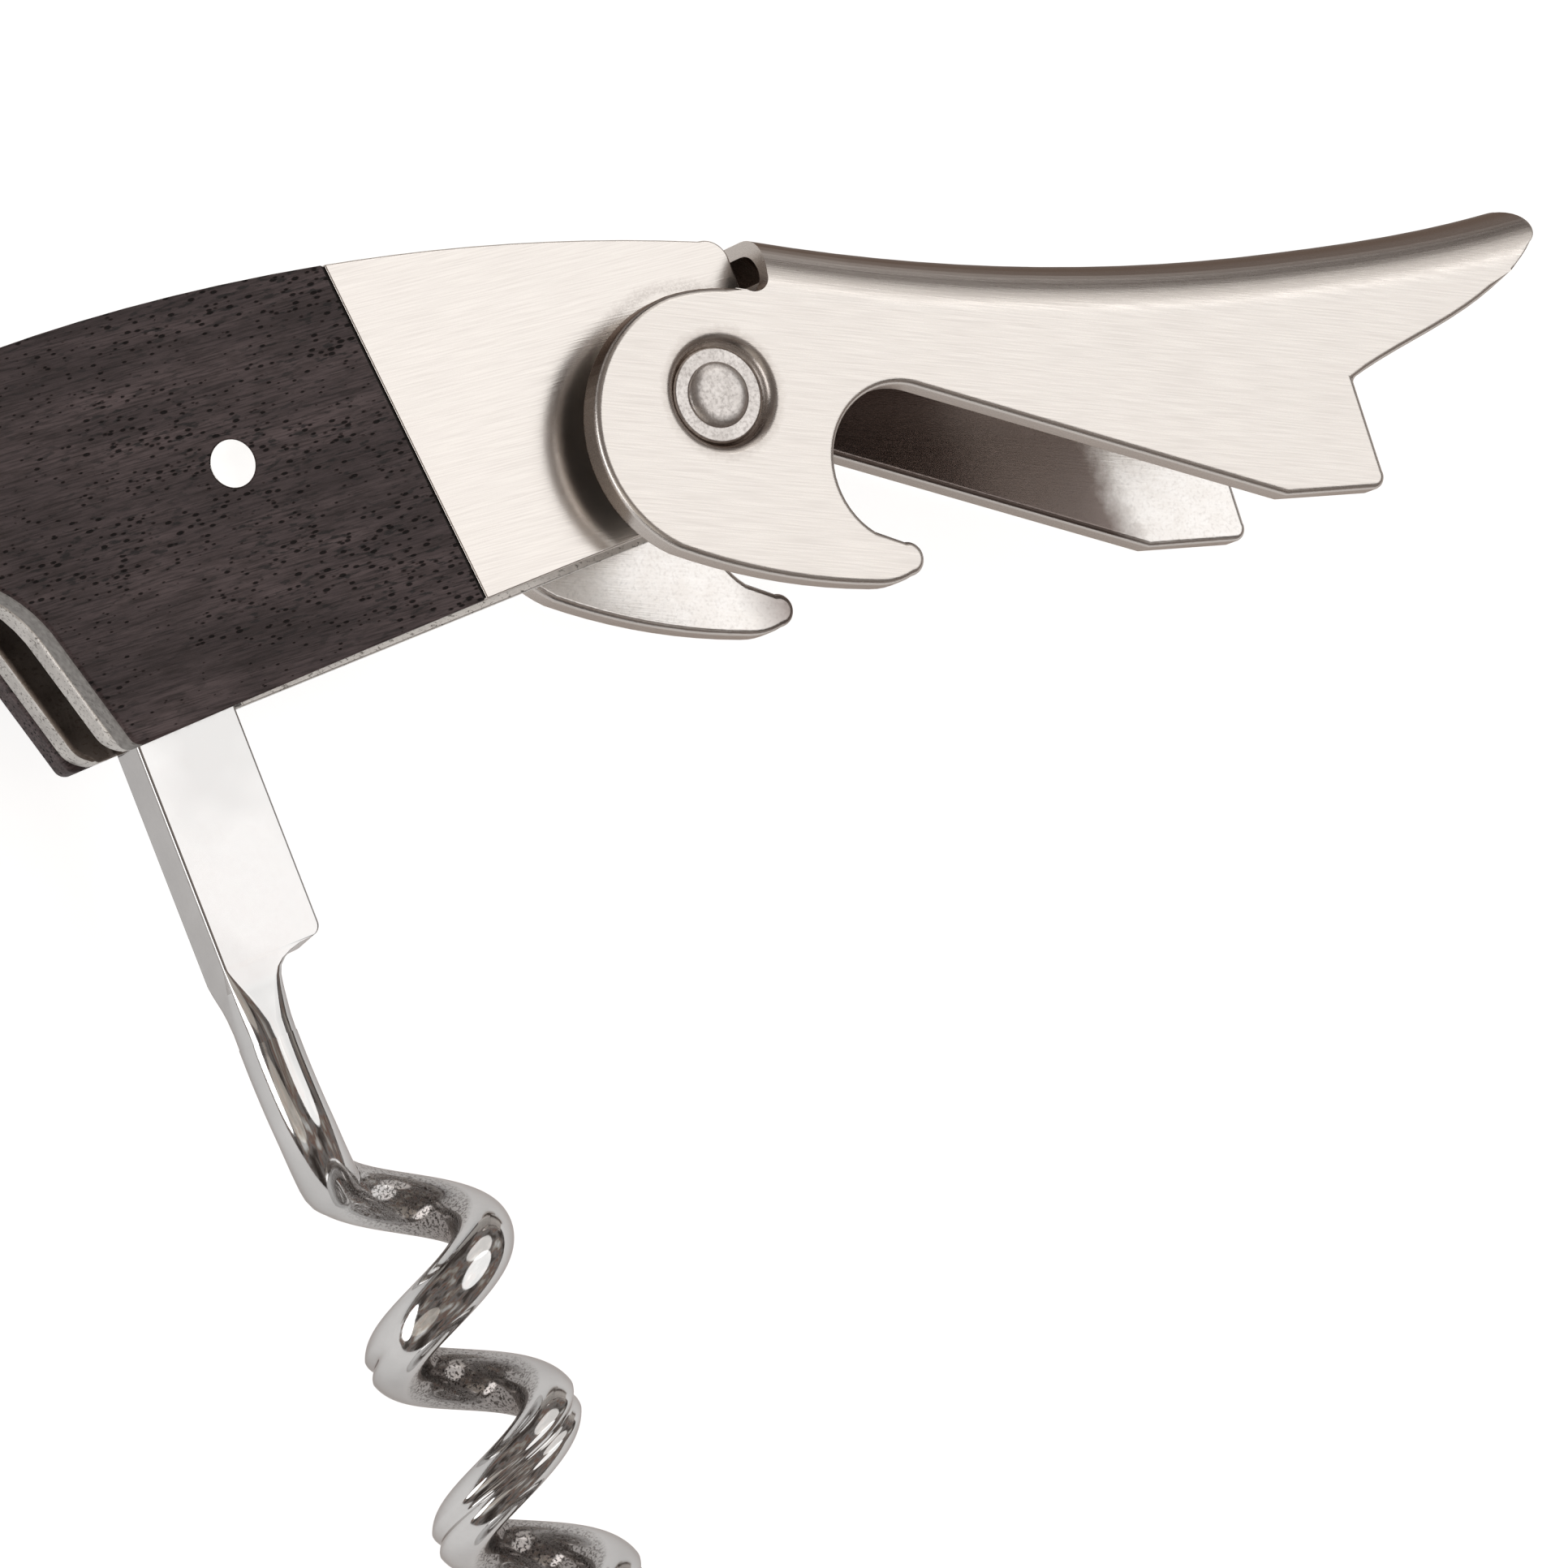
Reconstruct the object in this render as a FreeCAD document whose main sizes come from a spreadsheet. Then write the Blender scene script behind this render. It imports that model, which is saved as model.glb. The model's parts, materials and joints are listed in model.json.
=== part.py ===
"""Waiters corkscrew: wooden handle with steel bolsters, folding worm, foil knife and one-step lever.

Every piece is drawn in one design frame: the lever's pivot is the origin, +X runs along the
handle's underside towards the lever, the worm points along -Y, and Z is the thickness, with the
slot's middle plane at Z = 0.  Each piece's Placement then moves it to the part's own frame.
"""
import FreeCAD, Part
import math
import os
import Sketcher

V = FreeCAD.Vector
doc = FreeCAD.newDocument("waiters_corkscrew")

# ---------------------------------------------------------------- driving dimensions (mm, degrees)
DIMENSIONS = [
    ("frame_x", 33.775, "design frame to part frame: the part's origin is below its middle"),
    ("frame_y", 28.117, "design frame to part frame"),
    ("mid_height", 8.0, "height of the slot's middle plane when the part lies on its side"),
    ("slot_width", 3.0, "gap between the two liners"),
    ("liner_thick", 1.6, "steel liner"),
    ("cover_thick", 1.75, "wooden scale or steel bolster"),
    ("play", 0.05, "radial and axial running clearance at a pivot"),
    ("lever_width", 16.0, "outside width of the lever's channel"),
    ("sheet_thick", 1.7, "lever sheet"),
    ("bend_outer", 3.4, "outside radius of the lever's two long bends"),
    ("bend_inner", 1.7, "inside radius of the same bends"),
    ("spine_radius", 115.2, "curve of the lever's spine, hollow side up"),
    ("rivet_radius", 1.5, "lever rivet"),
    ("rivet_head", 1.7, "peened end of the rivet"),
    ("washer_radius", 2.65, "washer under the peened end"),
    ("washer_thick", 0.6, "washer under the peened end"),
    ("dish_radius", 2.75, "pressed dish that holds the washer"),
    ("dish_depth", 1.15, "pressed dish that holds the washer"),
    ("dish_boss", 3.5, "back of the pressed dish, which bears on the bolster"),
    ("scale_pin_radius", 1.2, "pins that hold the wooden scales"),
    ("front_pin_x", -24.85, "scale pin near the lever"),
    ("front_pin_y", 5.1, "scale pin near the lever"),
    ("rear_pin_x", -57.0, "scale pin near the knife"),
    ("rear_pin_y", 8.9, "scale pin near the knife"),
    ("hidden_pin_radius", 1.0, "spring pins under the bolsters"),
    ("worm_x", -30.55, "worm hinge"),
    ("worm_y", 1.5, "worm hinge"),
    ("worm_pin_radius", 1.5, "worm hinge pin"),
    ("tang_radius", 4.0, "round end of the worm's shank"),
    ("shank_width", 5.7, "flat shank of the worm"),
    ("shank_thick", 2.6, "flat shank of the worm"),
    ("shank_end", -17.7, "where the flat shank steps down to round wire"),
    ("wire_radius", 1.5, "round wire of the worm"),
    ("wire_x", -31.9, "centre of the straight wire below the shank"),
    ("coil_x", -28.4, "axis of the coil"),
    ("coil_radius", 3.1, "wire centre to coil axis"),
    ("coil_pitch", 9.0, "advance of the coil in one turn"),
    ("coil_start", -28.7, "where the coil begins"),
    ("coil_turns", 4.6, "turns of the coil, the tapered point included"),
    ("taper_turns", 0.8, "turns of the tapered point"),
    ("point_radius", 0.25, "radius at the tip of the worm"),
    ("knife_x", -109.6, "knife hinge"),
    ("knife_y", 2.0, "knife hinge"),
    ("knife_pin_radius", 1.25, "knife hinge pin"),
    ("knife_tang", 3.9, "round end of the knife"),
    ("knife_tang_thick", 2.6, "round end of the knife"),
    ("blade_thick", 1.5, "knife blade"),
]

sheet = doc.addObject("Spreadsheet::Sheet", "Dims")
for row, (alias, value, note) in enumerate(DIMENSIONS, start=1):
    sheet.set(f"A{row}", str(value))
    sheet.setAlias(f"A{row}", alias)
    sheet.set(f"B{row}", note)
doc.recompute()
dim = {alias: float(sheet.get(alias)) for alias, _, _ in DIMENSIONS}

HALF_SLOT = "Dims.slot_width / 2"
LINER_OUT = "Dims.slot_width / 2 + Dims.liner_thick"
COVER_OUT = "Dims.slot_width / 2 + Dims.liner_thick + Dims.cover_thick"
HALF_LEVER = "Dims.lever_width / 2"
half_lever = dim["lever_width"] / 2


# ---------------------------------------------------------------- drawing helpers
def point(xy):
    return V(xy[0], xy[1], 0)


def line(start, end):
    return Part.LineSegment(point(start), point(end))


def arc(start, through, end):
    return Part.Arc(point(start), point(through), point(end))


def smooth(points):
    curve = Part.BSplineCurve()
    curve.interpolate([point(p) for p in points])
    return curve


def polygon(points):
    return [line(a, b) for a, b in zip(points, points[1:] + points[:1])]


def place(piece):
    """Bind a piece's Placement to the sheet, so that it stands in the part's own frame."""
    piece.setExpression("Placement.Base.x", "Dims.frame_x")
    piece.setExpression("Placement.Base.y", "Dims.frame_y")
    piece.setExpression("Placement.Base.z", "Dims.mid_height")


def new_body(label):
    body = doc.addObject("PartDesign::Body", label)
    body.Label = label
    place(body)
    return body


def sketch_at(body, name, height):
    """A sketch on the body's own XY plane, lifted to the height that an expression gives."""
    plane = next(f for f in body.Origin.OriginFeatures if f.Role == "XY_Plane")
    sketch = body.newObject("Sketcher::SketchObject", name)
    sketch.AttachmentSupport = [(plane, "")]
    sketch.MapMode = "FlatFace"
    sketch.setExpression("AttachmentOffset.Base.z", height)
    return sketch


def draw(sketch, curves):
    for curve in curves:
        index = sketch.addGeometry(curve, False)
        sketch.addConstraint(Sketcher.Constraint("Block", index))


def draw_circle(sketch, x, y, radius):
    """A circle whose centre and radius are expressions of the sheet."""
    centre = V(sheet_value(x), sheet_value(y), 0)
    index = sketch.addGeometry(Part.Circle(centre, V(0, 0, 1), sheet_value(radius)), False)
    terms = [("DistanceX", x, centre.x), ("DistanceY", y, centre.y)]
    for kind, expression, value in terms:
        if expression == "0":
            sketch.addConstraint(Sketcher.Constraint(kind, -1, 1, index, 3, 0.0))
            continue
        number = sketch.addConstraint(Sketcher.Constraint(kind, -1, 1, index, 3, value))
        sketch.setExpression(f"Constraints[{number}]", expression)
    number = sketch.addConstraint(Sketcher.Constraint("Radius", index, sheet_value(radius)))
    sketch.setExpression(f"Constraints[{number}]", radius)


def sheet_value(expression):
    """The number that a sum of sheet cells and plain numbers comes to."""
    total = 0.0
    for term in expression.split(" + "):
        name = term.strip().replace("Dims.", "")
        total += dim[name] if name in dim else float(name)
    return total


def pad(body, curves, height, length, name="outline"):
    sketch = sketch_at(body, f"{body.Label}_{name}", height)
    draw(sketch, curves)
    feature = body.newObject("PartDesign::Pad", f"{body.Label}_{name}_pad")
    feature.Profile = sketch
    feature.setExpression("Length", length)
    doc.recompute()
    return feature


def pad_round(body, x, y, radius, height, length, name):
    sketch = sketch_at(body, f"{body.Label}_{name}", height)
    draw_circle(sketch, x, y, radius)
    feature = body.newObject("PartDesign::Pad", f"{body.Label}_{name}_pad")
    feature.Profile = sketch
    feature.setExpression("Length", length)
    doc.recompute()
    return feature


def pocket(body, sketch, length, name):
    """Cut downwards from the sketch, and make sure that it took something away."""
    before = body.Shape.Volume
    feature = body.newObject("PartDesign::Pocket", f"{body.Label}_{name}_cut")
    feature.Profile = sketch
    feature.setExpression("Length", length)
    doc.recompute()
    if body.Shape.Volume > before - 1e-6:
        raise ValueError(f"{body.Label}: {name} cuts nothing")
    return feature


def cut_area(body, curves, top, length, name):
    sketch = sketch_at(body, f"{body.Label}_{name}", top)
    draw(sketch, curves)
    return pocket(body, sketch, length, name)


def cut_round(body, x, y, radius, top, length, name):
    sketch = sketch_at(body, f"{body.Label}_{name}", top)
    draw_circle(sketch, x, y, radius)
    return pocket(body, sketch, length, name)


# ---------------------------------------------------------------- the handle's side view
TOP_FRONT = (3.6, 7.57)
TOP_REAR = (-107.0, 8.7)
UNDER_FRONT = (1.5, -5.05)
UNDER_MIDDLE = (-19.5, -5.47)
BULGE = (-35.1, -6.05)
SCOOP_FRONT = (-36.85, -0.2)
SCOOP_TOP = (-43.7, 5.3)
SCOOP_REAR = (-99.0, 3.0)
HEEL = (-106.2, -5.6)
END_FACE = 4.87

top_points = [TOP_FRONT, (-9.8, 11.43), (-22.0, 13.43), (-34.2, 14.1), (-45.0, 13.58), (-60.0, 12.26),
              (-75.0, 11.2), (-90.0, 10.35), TOP_REAR]


def rounded_corner(before, corner, after, run):
    """The two ends and the middle of an arc that rounds a corner, starting a run away from it."""
    towards = []
    for end in (before, after):
        length = math.hypot(end[0] - corner[0], end[1] - corner[1])
        towards.append(((end[0] - corner[0]) / length, (end[1] - corner[1]) / length))
    (ux, uy), (vx, vy) = towards
    half = math.acos(ux * vx + uy * vy) / 2
    radius = run * math.tan(half)
    reach = radius / math.sin(half) - radius
    middle = math.hypot(ux + vx, uy + vy)
    elbow = (corner[0] + reach * (ux + vx) / middle, corner[1] + reach * (uy + vy) / middle)
    return (corner[0] + run * ux, corner[1] + run * uy), elbow, (corner[0] + run * vx, corner[1] + run * vy)


def handle_outline(run):
    """The closed side view: arched back, worm scoop below, and a lower corner of the given run."""
    above, elbow, along = rounded_corner(SCOOP_FRONT, BULGE, UNDER_MIDDLE, run)
    return [
        smooth(top_points),
        smooth([TOP_REAR, (-113.6, 5.9), (-116.8, 0.6), (-115.2, -4.2), (-110.9, -6.5), HEEL]),
        smooth([HEEL, (-104.7, -2.4), (-103.0, 1.0), SCOOP_REAR]),
        smooth([SCOOP_REAR, (-80.0, 3.9), (-60.0, 4.9), SCOOP_TOP]),
        arc(SCOOP_TOP, (-38.55, 2.95), SCOOP_FRONT),
        line(SCOOP_FRONT, above),
        arc(above, elbow, along),
        arc(along, UNDER_MIDDLE, UNDER_FRONT),
        arc(UNDER_FRONT, (3.9, -4.0), (END_FACE, -1.5)),
        line((END_FACE, -1.5), (END_FACE, 6.2)),
        arc((END_FACE, 6.2), (4.5, 7.17), TOP_FRONT),
    ]


# The wood meets the bolsters along these two straight lines.
FRONT_JOINT = [(-16.5, 14.0), (-14.5, -7.0)]
REAR_JOINT = [(-99.0, 12.0), (-102.2, -1.0)]
FAR_RIGHT = 20.0
FAR_LEFT = -130.0
ABOVE = 30.0
BELOW = -30.0


def side_of(joint, far_x):
    """The area on one side of a joint line, larger than the handle."""
    (x1, y1), (x2, y2) = joint
    slope = (x2 - x1) / (y2 - y1)
    upper = (x1 + slope * (ABOVE - y1), ABOVE)
    lower = (x1 + slope * (BELOW - y1), BELOW)
    return polygon([upper, lower, (far_x, BELOW), (far_x, ABOVE)])


# Two hidden pins under the front bolsters hold the root of the spring and the spacer.
HIDDEN_PINS = [(-10.5, 6.6), (-19.5, -1.6)]

# Every pin across the handle: its place, and the radius of its hole.
PINS = {
    "rivet": ("0", "0", "Dims.rivet_radius + Dims.play"),
    "front_scale_pin": ("Dims.front_pin_x", "Dims.front_pin_y", "Dims.scale_pin_radius"),
    "rear_scale_pin": ("Dims.rear_pin_x", "Dims.rear_pin_y", "Dims.scale_pin_radius"),
    "worm_pin": ("Dims.worm_x", "Dims.worm_y", "Dims.worm_pin_radius"),
    "knife_pin": ("Dims.knife_x", "Dims.knife_y", "Dims.knife_pin_radius"),
    "spring_pin": (str(HIDDEN_PINS[0][0]), str(HIDDEN_PINS[0][1]), "Dims.hidden_pin_radius"),
    "spacer_pin": (str(HIDDEN_PINS[1][0]), str(HIDDEN_PINS[1][1]), "Dims.hidden_pin_radius"),
}


def pin_holes(body, pins, top, length):
    for pin in pins:
        x, y, radius = PINS[pin]
        cut_round(body, x, y, radius, top, length, f"{pin}_hole")


LINER_CORNER = 1.3
COVER_CORNER = 0.5
COVER = "Dims.cover_thick"
LINER = "Dims.liner_thick"
SIDES = {"front": 1, "back": -1}


def layer(side, inner, thickness):
    """Bottom and top heights of a flat layer on one side of the middle plane."""
    if SIDES[side] > 0:
        return inner, f"{inner} + {thickness}"
    return f"-({inner}) - {thickness}", f"-({inner})"


def liner(side):
    bottom, top = layer(side, HALF_SLOT, LINER)
    body = new_body(f"liner_{side}")
    pad(body, handle_outline(LINER_CORNER), bottom, LINER)
    pin_holes(body, PINS, top, LINER)
    return body


def cover(label, side, cuts):
    """A scale or bolster: the whole side view, less what lies beyond its joint lines."""
    bottom, top = layer(side, LINER_OUT, COVER)
    body = new_body(label)
    pad(body, handle_outline(COVER_CORNER), bottom, COVER)
    for number, area in enumerate(cuts, start=1):
        cut_area(body, area, top, COVER, f"joint_{number}")
    return body, top


def scale(side):
    ends = [side_of(FRONT_JOINT, FAR_RIGHT), side_of(REAR_JOINT, FAR_LEFT)]
    body, top = cover(f"scale_{side}", side, ends)
    pin_holes(body, ["front_scale_pin", "rear_scale_pin"], top, COVER)
    return body


def bolster(side):
    body, top = cover(f"bolster_{side}", side, [side_of(FRONT_JOINT, FAR_LEFT)])
    pin_holes(body, ["rivet"], top, COVER)
    return body


def rear_bolster(side):
    body, top = cover(f"rear_bolster_{side}", side, [side_of(REAR_JOINT, FAR_RIGHT)])
    pin_holes(body, ["knife_pin"], top, COVER)
    return body


# The spring's inner edge, and where the spacer below it begins.
SPRING_ROOT = 2.8
SPRING_LAND = 5.8

# Spring and spacer stop this far short of the liners' back and front edges.
TOP_INSET = 0.08
FRONT_INSET = 0.15


def backspring():
    """The arched spring bar that fills the slot's top and bears on both tangs."""
    body = new_body("backspring")
    top = [(x, y - TOP_INSET) for x, y in top_points]
    front = END_FACE - FRONT_INSET
    inner_edge = [
        (-111.4, 7.0), (-110.6, 6.2), (-104.6, 6.4), (-102.6, 7.15), (-66.0, 8.3), (-61.0, 7.9),
        (-59.6, 6.9), (-54.4, 7.1), (-52.4, 8.4), (-38.2, 8.2), (-34.9, SPRING_LAND), (-27.9, SPRING_LAND),
        (-26.2, SPRING_ROOT), (front, SPRING_ROOT),
    ]
    curves = [smooth(top), line(top[-1], inner_edge[0])]
    curves += [line(a, b) for a, b in zip(inner_edge, inner_edge[1:])]
    curves += [line(inner_edge[-1], (front, 6.3)), line((front, 6.3), top[0])]
    pad(body, curves, f"-({HALF_SLOT})", "Dims.slot_width")
    pin_holes(body, ["front_scale_pin", "rear_scale_pin", "spring_pin"], HALF_SLOT, "Dims.slot_width")
    return body


def front_spacer():
    """The block between the liners at the lever's pivot; its end stops the open worm."""
    body = new_body("front_spacer")
    front = END_FACE - FRONT_INSET
    curves = [
        line((front, SPRING_ROOT), (-26.2, SPRING_ROOT)),
        line((-26.2, SPRING_ROOT), (-26.3, 0.0)),
        line((-26.3, 0.0), (-27.45, -2.8)),
        line((-27.45, -2.8), (-27.45, -5.45)),
        line((-27.45, -5.45), (1.4, -4.85)),
        arc((1.4, -4.85), (3.75, -3.85), (front, -1.5)),
        line((front, -1.5), (front, SPRING_ROOT)),
    ]
    pad(body, curves, f"-({HALF_SLOT})", "Dims.slot_width")
    pin_holes(body, ["rivet", "spacer_pin"], HALF_SLOT, "Dims.slot_width")
    return body


# ---------------------------------------------------------------- pins
def cylinder(name, x, y, radius, half_length):
    """A round pin across the handle; radius, place and length are expressions."""
    pin = doc.addObject("Part::Cylinder", name)
    pin.Label = name
    pin.setExpression("Radius", radius)
    pin.setExpression("Height", f"2 * ({half_length})")
    pin.setExpression("Placement.Base.x", f"Dims.frame_x + {x}")
    pin.setExpression("Placement.Base.y", f"Dims.frame_y + {y}")
    pin.setExpression("Placement.Base.z", f"Dims.mid_height - ({half_length})")
    return pin


def pin(name, half_length):
    """The pin that fills one of the handle's holes."""
    x, y, radius = PINS[name]
    return cylinder(name, x, y, radius, half_length)


def pin_group(label, names, half_length):
    group = doc.addObject("Part::Compound", label)
    group.Links = [pin(name, half_length) for name in names]
    group.Label = label
    return group


# ---------------------------------------------------------------- the worm
def coil_point(turn):
    """Wire centre after a number of turns; the coil is right-handed and advances along -Y."""
    angle = 2 * math.pi * turn - math.pi
    x = dim["coil_x"] + dim["coil_radius"] * math.cos(angle)
    y = dim["coil_start"] - dim["coil_pitch"] * turn
    z = dim["coil_radius"] * math.sin(angle)
    return V(x, y, z)


# The share of a turn where the lead-in bend joins the coil.
COIL_ENTRY = 0.125


def wire_path():
    """Straight wire below the shank, a bend, then the coil."""
    steps_per_turn = 12
    first_turn = COIL_ENTRY
    count = round((dim["coil_turns"] - first_turn) * steps_per_turn)
    step = (dim["coil_turns"] - first_turn) / count
    lead = [V(dim["wire_x"], dim["shank_end"] + 1.6, 0), V(dim["wire_x"], -20.0, 0),
            V(dim["wire_x"], -23.6, 0), V(-31.55, -26.6, -0.25), V(-31.15, -28.4, -1.05)]
    coil = [coil_point(first_turn + step * i) for i in range(count + 1)]
    curve = Part.BSplineCurve()
    curve.interpolate(lead + coil)
    return curve


def sweep(curve, first, last, radius_first, radius_last):
    """Round wire along a stretch of the path, from one radius to another."""
    spine = Part.Wire(curve.toShape(first, last))
    shell = Part.BRepOffsetAPI.MakePipeShell(spine)
    for parameter, radius in ((first, radius_first), (last, radius_last)):
        tangent = curve.tangent(parameter)[0]
        profile = Part.Wire(Part.Circle(curve.value(parameter), tangent, radius).toShape())
        shell.add(profile)
    shell.build()
    shell.makeSolid()
    return shell.shape()


def worm():
    """Tang, flat shank and coiled wire, forged from one piece of steel."""
    half = dim["shank_thick"] / 2
    left = dim["worm_x"] - dim["shank_width"] / 2
    right = dim["worm_x"] + dim["shank_width"] / 2
    centre = V(dim["worm_x"], dim["worm_y"], -half)
    tang = Part.makeCylinder(dim["tang_radius"], 2 * half, centre)
    shank_length = dim["worm_y"] - dim["shank_end"]
    shank = Part.makeBox(right - left, shank_length, 2 * half, V(left, dim["shank_end"], -half))
    hole = Part.makeCylinder(dim["worm_pin_radius"] + dim["play"], 4 * half, centre - V(0, 0, half))
    curve = wire_path()
    taper_start = curve.parameter(coil_point(dim["coil_turns"] - dim["taper_turns"]))
    radius = dim["wire_radius"]
    wire = sweep(curve, curve.FirstParameter, taper_start, radius, radius)
    tip = sweep(curve, taper_start, curve.LastParameter, radius, dim["point_radius"])
    steel = tang.fuse([shank, wire, tip]).cut(hole)
    piece = doc.addObject("Part::Feature", "worm")
    piece.Label = "worm"
    piece.Shape = steel
    place(piece)
    return piece


# ---------------------------------------------------------------- the foil knife, folded
def knife():
    body = new_body("knife")
    spine_root = (-106.2, 0.1)
    curves = [
        line(spine_root, (-102.6, 2.5)),
        line((-102.6, 2.5), (-70.0, 4.1)),
        arc((-70.0, 4.1), (-67.2, 5.0), (-66.4, 7.0)),
        arc((-66.4, 7.0), (-84.0, 6.9), (-101.8, 6.0)),
        line((-101.8, 6.0), (-104.4, 5.3)),
        line((-104.4, 5.3), (-107.6, 4.9)),
        line((-107.6, 4.9), spine_root),
    ]
    pad(body, curves, "-Dims.blade_thick / 2", "Dims.blade_thick", "blade")
    pad_round(body, "Dims.knife_x", "Dims.knife_y", "Dims.knife_tang", "-Dims.knife_tang_thick / 2",
              "Dims.knife_tang_thick", "tang")
    cut_round(body, "Dims.knife_x", "Dims.knife_y", "Dims.knife_pin_radius + Dims.play",
              "Dims.knife_tang_thick / 2", "Dims.knife_tang_thick", "hinge_hole")
    return body


# ---------------------------------------------------------------- the lever
SPINE_START = (5.9, 6.82)
SPINE_END = (48.5, -4.83)
SPINE_MIDDLE_X = 57.03
SPINE_CENTRE_Y = 110.06
PAST_TAIL = 55.0


def spine_point(x, depth):
    """A point on the spine's outer curve (depth 0) or at a depth below it, on its normal at x."""
    radius = dim["spine_radius"]
    y = SPINE_CENTRE_Y - math.sqrt(radius ** 2 - (x - SPINE_MIDDLE_X) ** 2)
    out = ((SPINE_MIDDLE_X - x) / radius, (SPINE_CENTRE_Y - y) / radius)
    return (x - out[0] * depth, y - out[1] * depth)


def lever_outline():
    """One cheek and the spine's edge: boss, cap-lifter hook, slot, foot, V notch and tail."""
    start = spine_point(SPINE_START[0], 0)
    end = spine_point(SPINE_END[0], 0)
    return [
        arc(start, spine_point(27.0, 0), end),
        arc(end, (49.3, -5.75), (48.55, -7.05)),
        smooth([(48.55, -7.05), (46.6, -8.1), (41.7, -9.4), (34.75, -10.5)]),
        line((34.75, -10.5), (34.42, -15.4)),
        arc((34.42, -15.4), (34.2, -16.0), (33.6, -16.15)),
        line((33.6, -16.15), (28.5, -14.8)),
        line((28.5, -14.8), (10.4, -2.98)),
        arc((10.4, -2.98), (9.4, -2.55), (8.3, -2.42)),
        arc((8.3, -2.42), (4.4, -5.9), (5.35, -9.05)),
        line((5.35, -9.05), (6.7, -10.05)),
        arc((6.7, -10.05), (7.42, -10.95), (6.45, -11.75)),
        arc((6.45, -11.75), (5.5, -11.82), (4.5, -11.62)),
        arc((4.5, -11.62), (-0.2, -9.63), (-5.3, -6.45)),
        arc((-5.3, -6.45), (-7.54, -1.43), (-0.9, 5.44)),
        arc((-0.9, 5.44), (1.3, 5.15), (3.4, 4.36)),
        arc((3.4, 4.36), (4.35, 4.15), (4.9, 4.75)),
        line((4.9, 4.75), start),
    ]


def channel_area():
    """The space between the cheeks: everything below the spine's sheet, and all round the boss."""
    depth = dim["sheet_thick"]
    start = spine_point(SPINE_START[0], depth)
    end = spine_point(PAST_TAIL, depth)
    beyond = [(end[0], BELOW), (-20.0, BELOW), (-20.0, 7.5)]
    outer = [end] + beyond + [start]
    return [arc(start, spine_point(27.0, depth), end)] + [line(a, b) for a, b in zip(outer, outer[1:])]


def long_edges(shape, depth, height):
    """Names of the edges that run the spine's length at a depth below it and at +-height."""
    start = spine_point(SPINE_START[0], depth)
    names = []
    for number, edge in enumerate(shape.Edges, start=1):
        middle = edge.CenterOfMass
        level = abs(abs(middle.z) - height) < 0.01
        near_start = min(math.hypot(v.X - start[0], v.Y - start[1]) for v in edge.Vertexes) < 0.05
        if level and near_start and edge.Length > 30 and edge.BoundBox.ZLength < 0.01:
            names.append(f"Edge{number}")
    return names


def lever():
    """A folded steel channel: two equal cheeks joined by a spine with rounded bends."""
    body = new_body("lever")
    block = pad(body, lever_outline(), f"-({HALF_LEVER})", "Dims.lever_width")
    outer = body.newObject("PartDesign::Fillet", "lever_outer_bends")
    outer.Base = (block, long_edges(block.Shape, 0, half_lever))
    outer.setExpression("Radius", "Dims.bend_outer")
    doc.recompute()
    gap = "Dims.lever_width - 2 * Dims.sheet_thick"
    channel = cut_area(body, channel_area(), f"({gap}) / 2", gap, "channel")
    inner = body.newObject("PartDesign::Fillet", "lever_inner_bends")
    inner.Base = (channel, long_edges(channel.Shape, dim["sheet_thick"], half_lever - dim["sheet_thick"]))
    inner.setExpression("Radius", "Dims.bend_inner")
    doc.recompute()
    boss_length = f"{HALF_LEVER} - Dims.dish_depth - ({COVER_OUT}) - Dims.play"
    back_floor = f"-({HALF_LEVER}) + Dims.dish_depth"
    pad_round(body, "0", "0", "Dims.dish_boss", f"{COVER_OUT} + Dims.play", boss_length, "front_boss")
    pad_round(body, "0", "0", "Dims.dish_boss", back_floor, boss_length, "back_boss")
    cut_round(body, "0", "0", "Dims.dish_radius", HALF_LEVER, "Dims.dish_depth", "front_dish")
    cut_round(body, "0", "0", "Dims.dish_radius", back_floor, "Dims.dish_depth", "back_dish")
    cut_round(body, "0", "0", "Dims.rivet_radius + Dims.play", HALF_LEVER, "Dims.lever_width", "rivet_hole")
    return body


# ---------------------------------------------------------------- the lever's rivet and washers
HEAD_RECESS = 0.15


def lever_rivet():
    """Rivet across the whole handle, both ends peened over their washers."""
    shaft = cylinder("rivet_shaft", "0", "0", "Dims.rivet_radius", f"{HALF_LEVER} - {HEAD_RECESS}")
    parts = [shaft]
    head = f"Dims.dish_depth - Dims.washer_thick - Dims.play - {HEAD_RECESS}"
    for side, height in (("front", f"{HALF_LEVER} - Dims.dish_depth + Dims.play + Dims.washer_thick"),
                         ("back", f"-({HALF_LEVER}) + {HEAD_RECESS}")):
        disc = doc.addObject("Part::Cylinder", f"rivet_head_{side}")
        disc.setExpression("Radius", "Dims.rivet_head")
        disc.setExpression("Height", head)
        disc.setExpression("Placement.Base.x", "Dims.frame_x")
        disc.setExpression("Placement.Base.y", "Dims.frame_y")
        disc.setExpression("Placement.Base.z", f"Dims.mid_height + {height}")
        parts.append(disc)
    rivet = doc.addObject("Part::MultiFuse", "lever_rivet")
    rivet.Shapes = parts
    rivet.Refine = True
    rivet.Label = "lever_rivet"
    return rivet


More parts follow.
